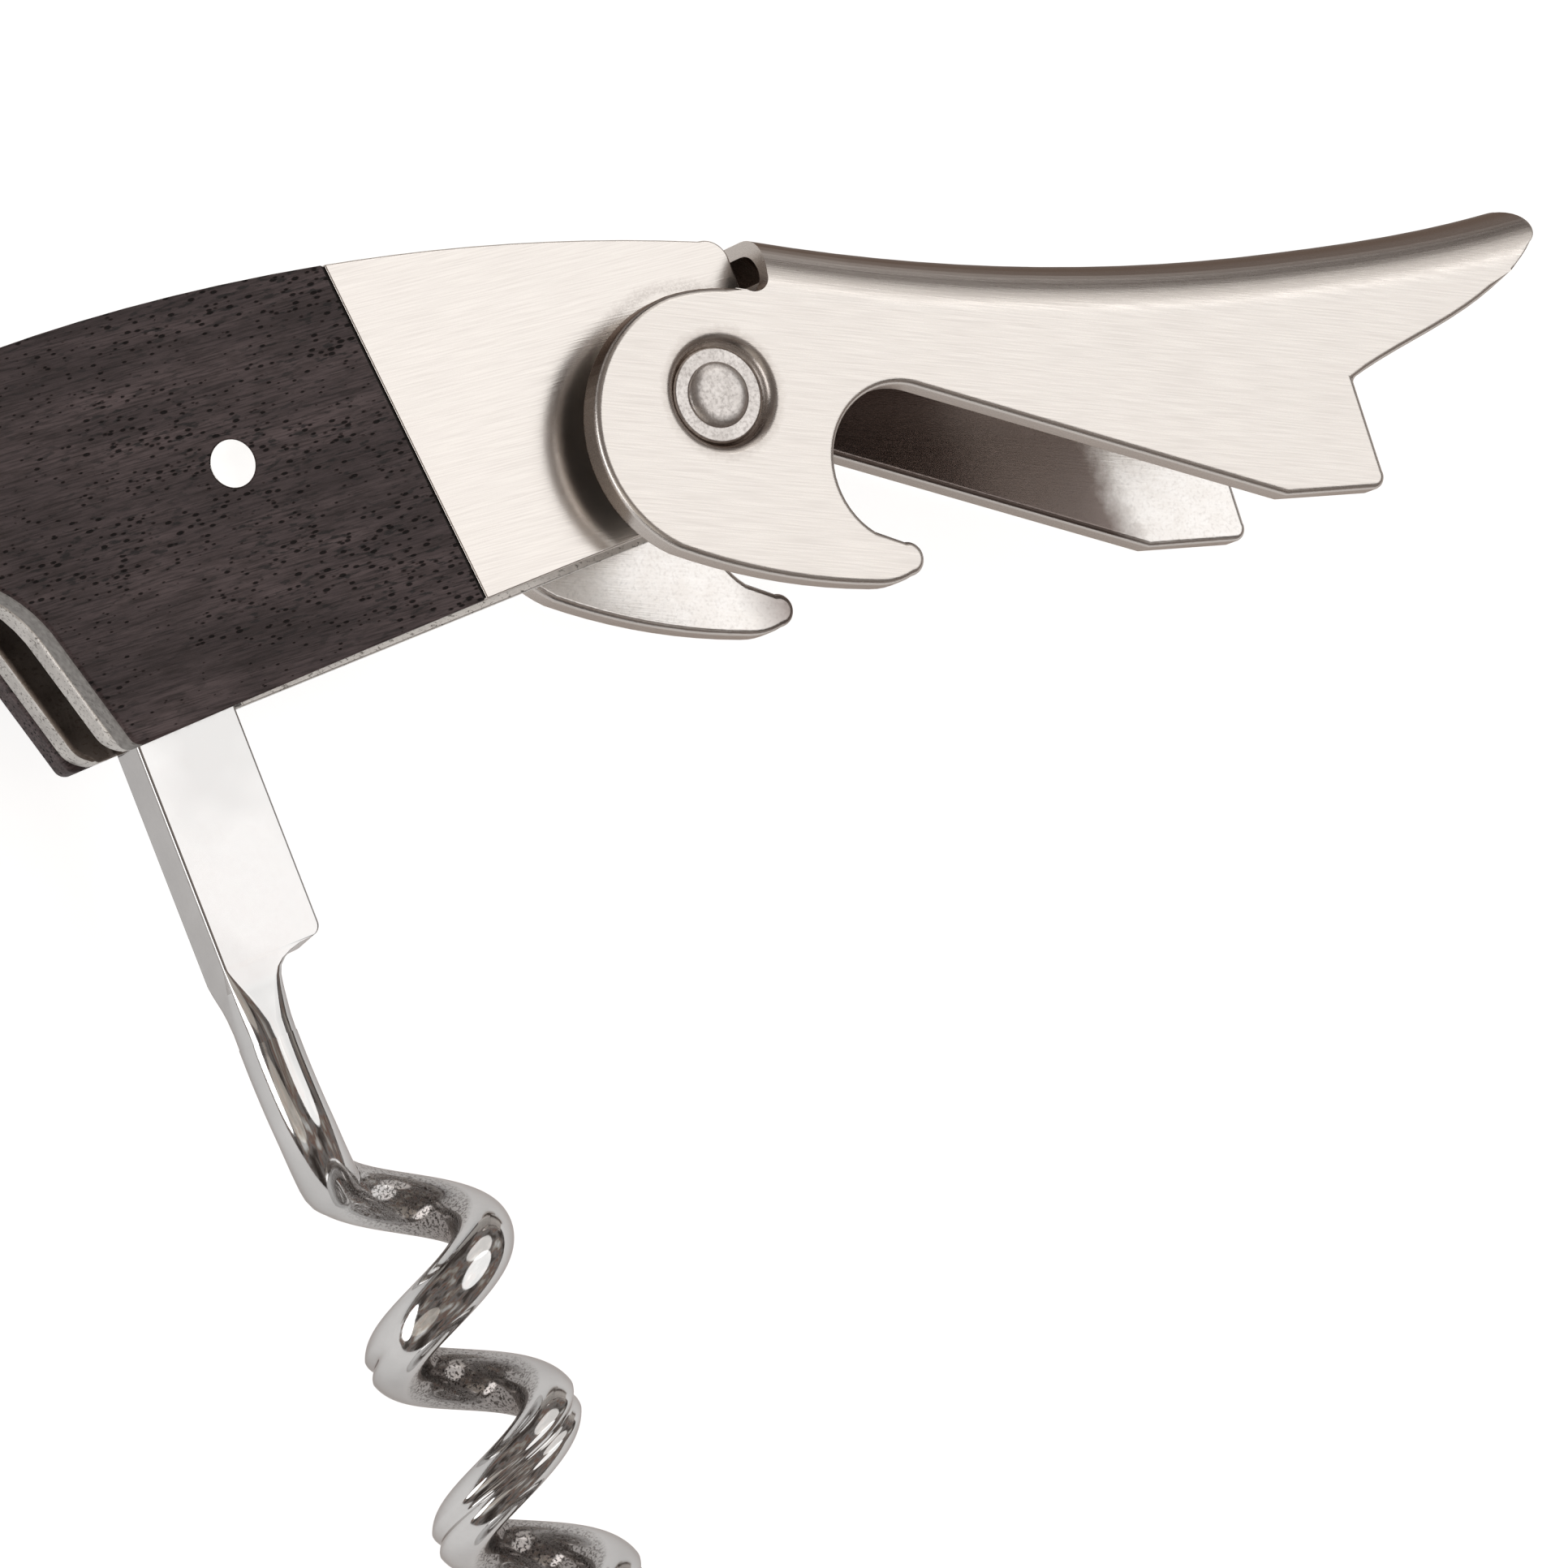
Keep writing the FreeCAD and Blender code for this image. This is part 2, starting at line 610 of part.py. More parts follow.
def rivet_washer(side):
    seat = f"{HALF_LEVER} - Dims.dish_depth + Dims.play"
    height = seat if SIDES[side] > 0 else f"-({seat}) - Dims.washer_thick"
    body = new_body(f"rivet_washer_{side}")
    sketch = sketch_at(body, f"washer_{side}_ring", height)
    draw_circle(sketch, "0", "0", "Dims.washer_radius")
    draw_circle(sketch, "0", "0", "Dims.rivet_radius")
    feature = body.newObject("PartDesign::Pad", f"washer_{side}_pad")
    feature.Profile = sketch
    feature.setExpression("Length", "Dims.washer_thick")
    doc.recompute()
    return body


# ---------------------------------------------------------------- all pieces
pieces = []
for side in SIDES:
    pieces += [liner(side), scale(side), bolster(side), rear_bolster(side), rivet_washer(side)]
pieces += [backspring(), front_spacer()]
pieces.append(pin_group("scale_pins", ["front_scale_pin", "rear_scale_pin"], COVER_OUT))
pieces.append(pin_group("spring_pins", ["spring_pin", "spacer_pin"], LINER_OUT))
pieces += [pin("worm_pin", LINER_OUT), pin("knife_pin", COVER_OUT)]
pieces += [worm(), knife(), lever(), lever_rivet()]
doc.recompute()

for item in doc.Objects:
    if "Invalid" in item.State or "Error" in item.State:
        raise ValueError(f"{item.Label} did not build: {item.State}")
for piece in pieces:
    if piece.Shape.isNull() or not piece.Shape.isValid():
        raise ValueError(f"{piece.Label} has no valid shape")

os.makedirs("parts", exist_ok=True)
whole = FreeCAD.BoundBox()
for piece in pieces:
    piece.Shape.exportStep(f"parts/{piece.Label}.step")
    whole.add(piece.Shape.BoundBox)
    print(piece.Label, len(piece.Shape.Solids), "solids", round(piece.Shape.Volume, 2), "mm3")
low = (whole.XMin, whole.YMin, whole.ZMin)
high = (whole.XMax, whole.YMax, whole.ZMax)
print("box", [round(n, 3) for n in low], [round(n, 3) for n in high])
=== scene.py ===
"""Looks of the waiters corkscrew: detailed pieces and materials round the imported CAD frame."""
import bisect
import json
import math

import bmesh
import bpy
from mathutils import Matrix, Vector
from mathutils.bvhtree import BVHTree


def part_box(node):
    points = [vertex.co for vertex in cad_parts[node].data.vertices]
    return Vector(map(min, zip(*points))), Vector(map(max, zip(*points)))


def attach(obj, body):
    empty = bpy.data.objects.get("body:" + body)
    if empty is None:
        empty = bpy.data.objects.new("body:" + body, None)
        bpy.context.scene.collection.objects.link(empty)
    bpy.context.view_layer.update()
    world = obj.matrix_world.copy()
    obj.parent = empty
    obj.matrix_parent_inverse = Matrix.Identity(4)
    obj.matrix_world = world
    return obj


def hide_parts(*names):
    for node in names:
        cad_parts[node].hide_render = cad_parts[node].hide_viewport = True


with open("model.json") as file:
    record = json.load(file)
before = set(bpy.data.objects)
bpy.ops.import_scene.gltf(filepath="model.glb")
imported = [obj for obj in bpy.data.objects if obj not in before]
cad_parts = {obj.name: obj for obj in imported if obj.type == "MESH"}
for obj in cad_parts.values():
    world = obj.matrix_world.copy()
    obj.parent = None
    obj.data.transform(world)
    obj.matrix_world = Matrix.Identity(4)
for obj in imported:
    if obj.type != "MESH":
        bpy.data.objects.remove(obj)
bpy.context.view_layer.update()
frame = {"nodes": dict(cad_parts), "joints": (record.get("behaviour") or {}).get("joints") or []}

MM = 0.001
JOINTS = {joint["name"]: joint for joint in frame["joints"]}
PIVOT = Vector(JOINTS["lever_hinge"]["pos_m"])


def at(x, y, z=0.0):
    """A point given in mm from the lever's pivot, in the row frame."""
    return PIVOT + Vector((x, y, z)) * MM


def flat_mm(p):
    """A point's x and y, in mm from the lever's pivot."""
    return (p - PIVOT).to_2d() / MM


def clamp(value):
    return min(1.0, max(0.0, value))


def ease(value, start, end):
    """A soft rise from 0 at start to 1 at end."""
    share = clamp((value - start) / (end - start))
    return share * share * (3 - 2 * share)


def new_object(name, data):
    made = bpy.data.objects.new(name, data)
    bpy.context.scene.collection.objects.link(made)
    return made


# ---------------------------------------------------------------- material helpers
def new_material(name, **settings):
    """A Principled material, with constant values on the shader's own sockets."""
    material = bpy.data.materials.new(name)
    material.use_nodes = True
    shader = material.node_tree.nodes["Principled BSDF"]
    for socket, value in settings.items():
        shader.inputs[socket.replace("_", " ")].default_value = value
    return material, material.node_tree, shader


def node(tree, kind, inputs=None, **settings):
    """A shader node with its settings, and with values or links on its inputs."""
    made = tree.nodes.new(kind)
    for setting, value in settings.items():
        setattr(made, setting, value)
    for socket, value in (inputs or {}).items():
        if isinstance(value, bpy.types.NodeSocket):
            tree.links.new(value, made.inputs[socket])
        else:
            made.inputs[socket].default_value = value
    return made


def grain_space(tree, angle, along, across):
    """Coordinates from the pivot, turned to an angle in the XY plane and scaled along and across it."""
    place = node(tree, "ShaderNodeTexCoord").outputs["Object"]
    moved = node(tree, "ShaderNodeVectorMath", {0: place, 1: PIVOT}, operation="SUBTRACT")
    turned = node(tree, "ShaderNodeVectorRotate",
                  {"Vector": moved.outputs[0], "Angle": -math.radians(angle)}, rotation_type="Z_AXIS")
    scaled = node(tree, "ShaderNodeVectorMath", {0: turned.outputs[0], 1: (along, across, across)},
                  operation="MULTIPLY")
    return scaled.outputs[0]


def place_mm(tree):
    """Coordinates from the pivot in mm, as three outputs."""
    return node(tree, "ShaderNodeSeparateXYZ", {0: grain_space(tree, 0, 1 / MM, 1 / MM)}).outputs


def noise(tree, vector, scale=1.0, detail=2.0, roughness=0.5):
    made = node(tree, "ShaderNodeTexNoise", {"Vector": vector, "Scale": scale, "Detail": detail,
                                             "Roughness": roughness})
    return made.outputs["Fac"]


def grain(tree, angle, along, across, **settings):
    """Noise that runs at an angle, with its frequencies along and across it, per metre."""
    return noise(tree, grain_space(tree, angle, along, across), **settings)


def grit(tree, frequency, **settings):
    """Noise that is the same in every direction, with its frequency per metre."""
    return grain(tree, 0, frequency, frequency, **settings)


def ramp(tree, value, stops):
    """A colour ramp through (position, colour) stops; a plain number makes a grey."""
    made = node(tree, "ShaderNodeValToRGB", {0: value})
    elements = made.color_ramp.elements
    while len(elements) < len(stops):
        elements.new(0.5)
    for element, (position, colour) in zip(elements, stops):
        element.position = position
        element.color = (*colour, 1) if isinstance(colour, tuple) else (colour, colour, colour, 1)
    return made.outputs[0]


def remap(tree, value, low, high, to_low, to_high):
    made = node(tree, "ShaderNodeMapRange", {0: value, 1: low, 2: high, 3: to_low, 4: to_high})
    return made.outputs[0]


def maths(tree, operation, first, second):
    return node(tree, "ShaderNodeMath", {0: first, 1: second}, operation=operation).outputs[0]


def mix_colour(tree, factor, first, second):
    """Blend two colours, each a socket or a plain (r, g, b)."""
    made = node(tree, "ShaderNodeMix", data_type="RGBA", blend_type="MIX")
    for socket, value in ((0, factor), (6, first), (7, second)):
        if isinstance(value, bpy.types.NodeSocket):
            tree.links.new(value, made.inputs[socket])
        else:
            made.inputs[socket].default_value = value if socket == 0 else (*value, 1)
    return made.outputs[2]


def stain(tree, tone, mark, strength, colour):
    """Put a colour over a tone where a mark is, at a strength."""
    return mix_colour(tree, maths(tree, "MULTIPLY", mark, strength), tone, colour)


def fade_in(tree, tone, value, low, high, most, colour):
    """Put a colour over a tone as a value rises from low to high, up to the most of it."""
    return mix_colour(tree, remap(tree, value, low, high, 0.0, most), tone, colour)


def finish_surface(tree, shader, tone, rough, layers, worn=None):
    """Link colour, roughness and height layers, as (value, height in mm), after any wear and painted shade on
    them.
    """
    if worn:
        # For the lever and the bolster, worn also paints shade.
        tone, rough, more = worn(tree, tone, rough)
        layers = layers + more
    tree.links.new(tone, shader.inputs["Base Color"])
    tree.links.new(rough, shader.inputs["Roughness"])
    normal = None
    for value, height in layers:
        made = node(tree, "ShaderNodeBump", {"Height": value, "Distance": height * MM, "Strength": 1.0})
        if normal:
            tree.links.new(normal, made.inputs["Normal"])
        normal = made.outputs[0]
    tree.links.new(normal, shader.inputs["Normal"])


def marked(tree, name):
    """A mark on faces (wall, inward, spine, seam or shade) or on points (inner)."""
    return node(tree, "ShaderNodeAttribute", attribute_name=name).outputs["Fac"]


# ---------------------------------------------------------------- materials
BRUSHED_RIM = (0.48, 0.41, 0.37, 1)
PIN_RIM = (0.7, 0.68, 0.66, 1)
WORM_RIM = (0.66, 0.62, 0.60, 1)
SHEARED_STEEL = (0.72, 0.68, 0.65)
BOLSTER_GRIME_AND_SHADOW = (0.15, 0.115, 0.10)
DISH_GRIME_AND_SHADE = (0.36, 0.31, 0.28)
SPINE_PAINTED_SHADE = (0.18, 0.145, 0.128)
SHADE_TONE = (0.05, 0.038, 0.033)
RAW_SHEET = [(0.36, (0.84, 0.81, 0.78)), (0.62, (0.90, 0.88, 0.86))]
RAW_SPECK = (0.40, 0.37, 0.355)
SHEET_PAINTED_SHADE = (0.20, 0.155, 0.14)
PAINTED_SHADE_START = 4.5
PAINTED_SHADE_END = 26.5
WOOD_ANGLE = -3
WOOD_BANDS = [(0.32, (0.050, 0.033, 0.034)), (0.5, (0.100, 0.072, 0.074)), (0.68, (0.165, 0.122, 0.124))]
WOOD_FIBRE = (0.018, 0.011, 0.011)
WOOD_FIGURE = (0.030, 0.0165, 0.014)
WOOD_SPECK = (0.010, 0.007, 0.007)
WOOD_PORE = (0.004, 0.003, 0.003)
WOOD_SEAM = (0.009, 0.006, 0.005)
WOOD_PAINTED_SHEEN = [(0.35, (0.27, 0.262, 0.25)), (0.65, (0.42, 0.41, 0.395))]
LINER_TONES = [(0.3, (0.58, 0.555, 0.53)), (0.7, (0.86, 0.835, 0.80))]
LINER_PIT = (0.09, 0.075, 0.065)
LINER_PAINTED_SHADE = (0.16, 0.125, 0.105)
COIL_SIDE = [(0.35, (0.44, 0.425, 0.415)), (0.65, (0.62, 0.605, 0.595))]
COIL_INNER = (0.27, 0.24, 0.225)
COIL_PIT = (0.045, 0.035, 0.03)
WORN_TONES = [(0.3, (0.62, 0.585, 0.56)), (0.7, (0.78, 0.745, 0.72))]
WORN_GRAIN = (0.26, 0.235, 0.22)
WASHER_RIM_BROWN = (0.15, 0.095, 0.055)
FLOOR_TONES = [(0.3, (0.60, 0.598, 0.595)), (0.7, (0.64, 0.638, 0.635))]
FLOOR_GLOW_COLOUR = (1.0, 0.998, 0.995, 1)
FLOOR_GLOW = 0.42
FLOOR_GLOW_SEEN = 0.84


def from_pivot(tree):
    """Distance from the lever's pivot axis, in mm."""
    place = place_mm(tree)
    square = maths(tree, "ADD", maths(tree, "MULTIPLY", place[0], place[0]),
                   maths(tree, "MULTIPLY", place[1], place[1]))
    return maths(tree, "SQRT", square, 0.0)


def ring_of_grime_and_shade(tree, start, full, fading, end):
    """Grime and painted shade round the pivot, rising between two radii and fading between two more, in mm.
    """
    wobble = grit(tree, 2600, detail=4, roughness=0.7)
    distance = maths(tree, "ADD", from_pivot(tree), remap(tree, wobble, 0.3, 0.7, -0.16, 0.16))
    rising = remap(tree, distance, start, full, 0.0, 1.0)
    return maths(tree, "MULTIPLY", rising, remap(tree, distance, fading, end, 1.0, 0.0))


def brushed_steel(name, angle, bright, dull, rough, worn=None):
    """Warm steel with fine straight brushing, faint clouds, and duller sheared walls."""
    material, tree, shader = new_material(name, Metallic=1.0, Specular_Tint=BRUSHED_RIM)
    lines = grain(tree, angle, 330, 13000, detail=3)
    hairs = grain(tree, angle, 900, 30000, detail=1)
    clouds = grain(tree, angle, 70, 140, detail=3)
    tone = ramp(tree, lines, [(0.3, dull), (0.65, bright)])
    tone = fade_in(tree, tone, clouds, 0.35, 0.7, 0.16, dull)
    tone = stain(tree, tone, marked(tree, "wall"), 0.6, SHEARED_STEEL)
    roughness = remap(tree, lines, 0.25, 0.75, rough + 0.05, rough - 0.04)
    finish_surface(tree, shader, tone, roughness, [(lines, 0.0045), (hairs, 0.0015)], worn)
    return material


def bolster_grime_and_shadow(tree, tone, rough):
    """Grime on the front bolster round the lever's boss, with a painted contact shadow where the lever stands
    over it.
    """
    ring = ring_of_grime_and_shade(tree, 5.7, 5.9, 6.0, 6.5)
    specks = remap(tree, grit(tree, 9000, detail=2), 0.42, 0.56, 0.45, 1.0)
    # Painted shadow, speckled with grime, in a ring at the foot of the lever's boss.
    tone = stain(tree, tone, maths(tree, "MULTIPLY", ring, specks), 0.26, BOLSTER_GRIME_AND_SHADOW)
    return tone, rough, []


def raw_sheet(tree):
    """The lever's inside: pale cloudy sheet with specks, and painted shade under the spine."""
    clouds = grit(tree, 700, detail=5, roughness=0.7)
    raw = ramp(tree, clouds, RAW_SHEET)
    raw = fade_in(tree, raw, grit(tree, 5200, detail=2), 0.5, 0.75, 0.25, RAW_SPECK)
    along = maths(tree, "ADD", place_mm(tree)[0], remap(tree, clouds, 0.3, 0.7, -0.4, 0.4))
    # Painted shade inside the channel, where the spine covers it.
    shade_entering = remap(tree, along, PAINTED_SHADE_START, PAINTED_SHADE_START + 3, 0.0, 1.0)
    shade_leaving = remap(tree, along, PAINTED_SHADE_END, PAINTED_SHADE_END + 2, 1.0, 0.0)
    return stain(tree, raw, maths(tree, "MULTIPLY", shade_entering, shade_leaving), 0.9, SHEET_PAINTED_SHADE)


def lever_wear_and_shade(tree, tone, rough):
    """Raw sheet inside, grime with painted shade in the dish round the rivet, and painted shade on the spine
    and in its thinned end.
    """
    # Grime with painted shade in the dish's hollow round the rivet.
    tone = stain(tree, tone, ring_of_grime_and_shade(tree, 2.3, 2.45, 2.7, 3.5), 0.6, DISH_GRIME_AND_SHADE)
    # Painted shade on the faces that look at the lever's back, standing in for their dark reflection.
    tone = stain(tree, tone, marked(tree, "spine"), 0.92, SPINE_PAINTED_SHADE)
    tone = stain(tree, tone, marked(tree, "shade"), 0.93, SHADE_TONE)
    inward = marked(tree, "inward")
    tone = mix_colour(tree, inward, tone, raw_sheet(tree))
    return tone, maths(tree, "ADD", rough, maths(tree, "MULTIPLY", inward, -0.06)), []


def open_pores(tree, patches):
    """Short pores along the grain, larger where the patches are."""
    cells = node(tree, "ShaderNodeTexVoronoi", {"Vector": grain_space(tree, WOOD_ANGLE, 1750, 4500),
                                                "Scale": 1.0})
    lot = node(tree, "ShaderNodeSeparateColor", {0: cells.outputs["Color"]}).outputs
    chosen = maths(tree, "LESS_THAN", lot[0], 0.72)
    size = maths(tree, "MULTIPLY", remap(tree, patches, 0.34, 0.54, 0.12, 0.34),
                 remap(tree, lot[1], 0.0, 1.0, 0.5, 1.1))
    closeness = maths(tree, "SUBTRACT", size, cells.outputs["Distance"])
    return maths(tree, "MULTIPLY", remap(tree, closeness, -0.05, 0.08, 0.0, 1.0), chosen)


def wood():
    """Dark oiled wood: bands, fibres and pores along the grain, and a painted grey sheen on the scoop's wall.
    """
    material, tree, shader = new_material("wood", Specular_IOR_Level=0.32)
    bands = grain(tree, WOOD_ANGLE, 70, 480, detail=5, roughness=0.65)
    fibres = grain(tree, WOOD_ANGLE, 420, 9500, detail=3, roughness=0.7)
    figure = grain(tree, WOOD_ANGLE, 500, 1500, detail=4, roughness=0.7)
    patches = grain(tree, WOOD_ANGLE, 110, 240, detail=2)
    pores = open_pores(tree, patches)
    specks = ramp(tree, grain(tree, WOOD_ANGLE, 1300, 5200, detail=3), [(0.56, 0.0), (0.64, 1.0)])
    tone = ramp(tree, bands, WOOD_BANDS)
    tone = fade_in(tree, tone, fibres, 0.44, 0.66, 0.75, WOOD_FIBRE)
    tone = fade_in(tree, tone, figure, 0.48, 0.72, 0.55, WOOD_FIGURE)
    tone = stain(tree, tone, specks, remap(tree, patches, 0.36, 0.56, 0.25, 0.85), WOOD_SPECK)
    tone = stain(tree, tone, pores, 0.93, WOOD_PORE)
    # Painted grey sheen on the scoop's wall, growing towards the front.
    sheen_strength = remap(tree, place_mm(tree)[0], -64.0, -46.0, 0.0, 0.8)
    tone = stain(tree, tone, marked(tree, "wall"), sheen_strength, ramp(tree, grit(tree, 3200, detail=4), WOOD_PAINTED_SHEEN))
    tone = mix_colour(tree, marked(tree, "seam"), tone, WOOD_SEAM)
    rough = maths(tree, "ADD", remap(tree, fibres, 0.3, 0.7, 0.42, 0.54), maths(tree, "MULTIPLY", pores, 0.3))
    hollow = maths(tree, "SUBTRACT", 1.0, pores)
    finish_surface(tree, shader, tone, rough, [(fibres, 0.010), (hollow, 0.04)])
    return material


def liner_steel():
    """Stamped sheet: grey walls with dark pits and shear marks, and dull brown painted shade on its hidden
    faces.
    """
    material, tree, shader = new_material("liner_steel", Metallic=1.0)
    clouds = grit(tree, 600, detail=5, roughness=0.65)
    pits = grain(tree, -20, 3800, 6200, detail=3, roughness=0.7)
    shear = grain(tree, 0, 9000, 700, detail=2)
    tone = ramp(tree, clouds, LINER_TONES)
    tone = stain(tree, tone, ramp(tree, pits, [(0.56, 0.0), (0.64, 1.0)]), 0.75, LINER_PIT)
    # Painted shade on the faces that look into the handle's channel.
    tone = stain(tree, tone, marked(tree, "inward"), 0.85, LINER_PAINTED_SHADE)
    rough = remap(tree, clouds, 0.3, 0.7, 0.33, 0.46)
    finish_surface(tree, shader, tone, rough, [(shear, 0.012), (pits, 0.01)])
    return material


def polished_steel(name, tint, rim, worn=None):
    """Mirror-polished steel with faint waviness and slow clouds."""
    material, tree, shader = new_material(name, Metallic=1.0, Specular_Tint=rim)
    place = grain_space(tree, 0, 1 / MM, 1 / MM)
    waves = noise(tree, place, scale=0.8, detail=2)
    haze = noise(tree, place, scale=2.6, detail=5, roughness=0.7)
    slow = noise(tree, place, scale=0.16, detail=2)
    tone = ramp(tree, haze, [(0.35, tuple(c * 0.97 for c in tint)), (0.65, tint)])
    tone = fade_in(tree, tone, slow, 0.42, 0.62, 0.55, tuple(c * 0.78 for c in tint))
    rough = remap(tree, haze, 0.35, 0.7, 0.05, 0.12)
    finish_surface(tree, shader, tone, rough, [(waves, 0.004), (haze, 0.0006)], worn)
    return material


def worm_wear(tree, tone, rough):
    """Grey sides on the shank, and brown rolling pits on the coil's inner side."""
    place = grain_space(tree, 0, 1 / MM, 1 / MM)
    wall = marked(tree, "wall")
    side = ramp(tree, noise(tree, place, scale=1.6, detail=6, roughness=0.75), COIL_SIDE)
    tone = mix_colour(tree, wall, tone, side)
    rough = maths(tree, "ADD", rough, maths(tree, "MULTIPLY", wall, 0.14))
    inner = marked(tree, "inner")
    spots = ramp(tree, noise(tree, place, scale=7.0, detail=4, roughness=0.75), [(0.53, 0.0), (0.59, 1.0)])
    spots = maths(tree, "MULTIPLY", spots, inner)
    tone = stain(tree, tone, inner, 0.8, COIL_INNER)
    tone = stain(tree, tone, spots, 0.9, COIL_PIT)
    rough = maths(tree, "ADD", rough, maths(tree, "MULTIPLY", inner, 0.06))
    return tone, rough, [(maths(tree, "SUBTRACT", 1.0, spots), 0.02)]


def worn_steel():
    """Rivet and washers: tumbled steel, grainy, and browner towards the washer's rim."""
    material, tree, shader = new_material("worn_steel", Metallic=1.0)
    grains = grit(tree, 5200, detail=4, roughness=0.7)
    tone = ramp(tree, grit(tree, 900, detail=3), WORN_TONES)
    tone = fade_in(tree, tone, grains, 0.45, 0.72, 0.6, WORN_GRAIN)
    # Brown towards the washer's rim, at the crevice by the dish.
    tone = fade_in(tree, tone, from_pivot(tree), 2.33, 2.43, 0.8, WASHER_RIM_BROWN)
    finish_surface(tree, shader, tone, remap(tree, grains, 0.3, 0.7, 0.26, 0.38), [(grains, 0.014)])
    return material


def floor_paint():
    """Pale matt floor; the camera sees it as a white studio sweep, and the part sees it dimmer."""
    material, tree, shader = new_material("pale_floor", Roughness=0.9, Specular_IOR_Level=0.1,
                                          Emission_Color=FLOOR_GLOW_COLOUR)
    tree.links.new(ramp(tree, grit(tree, 40, detail=3), FLOOR_TONES), shader.inputs["Base Color"])
    seen = node(tree, "ShaderNodeLightPath").outputs["Is Camera Ray"]
    glow = remap(tree, seen, 0.0, 1.0, FLOOR_GLOW, FLOOR_GLOW_SEEN)
    tree.links.new(glow, shader.inputs["Emission Strength"])
    return material


MATERIALS = {
    "wood": wood(),
    "liner": liner_steel(),
    "bolster": brushed_steel("bolster_steel", -5, (0.83, 0.79, 0.75), (0.75, 0.71, 0.675), 0.2, bolster_grime_and_shadow),
    "lever": brushed_steel("lever_steel", -23, (0.82, 0.78, 0.74), (0.74, 0.70, 0.665), 0.28, lever_wear_and_shade),
    "pin": polished_steel("pin_steel", (0.96, 0.955, 0.95), PIN_RIM),
    "worm": polished_steel("worm_steel", (0.79, 0.79, 0.79), WORM_RIM, worm_wear),
    "worn": worn_steel(),
    "blade": brushed_steel("blade_steel", 88, (0.78, 0.77, 0.765), (0.70, 0.69, 0.68), 0.2),
}


# ---------------------------------------------------------------- marks on faces, all measures in mm
WIRE_TOP = -18.6
FRONT_JOINT = [(-16.5, 14.0), (-14.5, -7.0)]
SEAM_HALF = 0.19
WEB_END = Vector((5.9, 6.82))
WEB_ALONG = Vector((0.896, -0.444))
WEB_OUT = Vector((-WEB_ALONG.y, WEB_ALONG.x))
WEB_SHEET = 1.7
WEB_LIP = 0.8
WEB_FLARE = 1.5
BEND_FROM = 4.6
BEND_RADIUS = 3.4
DEEP_INSIDE = 9.0


def on_wire(p):
    """Tells whether a point is on the worm's round wire."""
    return p.y < at(0, WIRE_TOP).y


def from_joint(p):
    """Distance in mm from the joint line between wood and front bolster."""
    x, y = flat_mm(p)
    (x1, y1), (x2, y2) = FRONT_JOINT
    return abs((x2 - x1) * (y - y1) - (y2 - y1) * (x - x1)) / math.hypot(x2 - x1, y2 - y1)


def web_offsets(place):
    """Distances in mm from the spine's cut end: along it, out of it, and sideways past its flat part."""
    flat = place.to_2d() / MM - WEB_END
    return flat.dot(WEB_ALONG), flat.dot(WEB_OUT), max(0.0, abs(place.z) / MM - BEND_FROM)


def web_place(place):
    """Distance along the lever's spine from its cut end, and depth under its skin, both in mm."""
    along, out, across = web_offsets(place)
    if -out > BEND_RADIUS - 0.2:
        return along, DEEP_INSIDE
    return along, BEND_RADIUS - math.hypot(across, BEND_RADIUS + out)


def mark_faces(made, wall_from, wall_zone):
    """Mark the faces for their materials.

    wall: stands upright, in the zone if one is given; inward: looks at the middle plane; spine: looks
    at the lever's back, for painted shade; seam: next to the wood's front joint; shade: painted shade in the
    spine's thinned end.
    """
    names = ("wall", "inward", "spine", "seam", "shade")
    wall, inward, spine, seam, shade = [made.faces.layers.float.new(name) for name in names]
    for face in made.faces:
        middle = face.calc_center_median()
        height = middle.z - PIVOT.z
        up = face.normal.z
        upright = abs(up) < 0.5 and abs(height) > wall_from * MM and not on_wire(middle)
        along, depth = web_place(middle - PIVOT)
        face[wall] = float(upright and (wall_zone is None or wall_zone(middle)))
        face[inward] = float(up * height < -0.5 * abs(height))
        # The spine mark carries the lever's painted shade.
        face[spine] = clamp((face.normal.y - 0.43) / 0.32)
        face[seam] = float(from_joint(middle) < SEAM_HALF)
        face[shade] = float(0.02 < along < WEB_FLARE + 0.1 and WEB_LIP < depth < 2.5)


# ---------------------------------------------------------------- mesh helpers
TOO_SHORT = 0.004
WELD = 0.002
FLAT_ANGLE = 0.08
STRAY = 0.16
STRAY_FREE = 4


def finish_piece(made, name, body, slot, material, *replaced, wall_from=0.0, wall_zone=None, crease=50):
    """Turn a finished bmesh into a smooth-shaded piece that rides on a body."""
    bmesh.ops.dissolve_degenerate(made, dist=TOO_SHORT * MM, edges=made.edges)
    made.normal_update()
    mark_faces(made, wall_from, wall_zone)
    for face in made.faces:
        face.smooth = True
    for edge in made.edges:
        edge.smooth = edge.is_manifold and edge.calc_face_angle() < math.radians(crease)
    mesh = bpy.data.meshes.new(name)
    made.to_mesh(mesh)
    made.free()
    mesh.materials.append(MATERIALS[material])
    piece = new_object(name, mesh)
    flat = piece.modifiers.new("flat_faces", "WEIGHTED_NORMAL")
    flat.keep_sharp = True
    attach(piece, body)
    if replaced:
        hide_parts(*replaced)


def cad_copy(cad_node):
    """A CAD piece's surface with its triangles joined back into whole faces."""
    made = bmesh.new()
    made.from_mesh(frame["nodes"][cad_node].data)
    bmesh.ops.remove_doubles(made, verts=made.verts, dist=WELD * MM)
    bmesh.ops.dissolve_limit(made, angle_limit=math.radians(FLAT_ANGLE), verts=made.verts, edges=made.edges)
    made.normal_update()
    return made


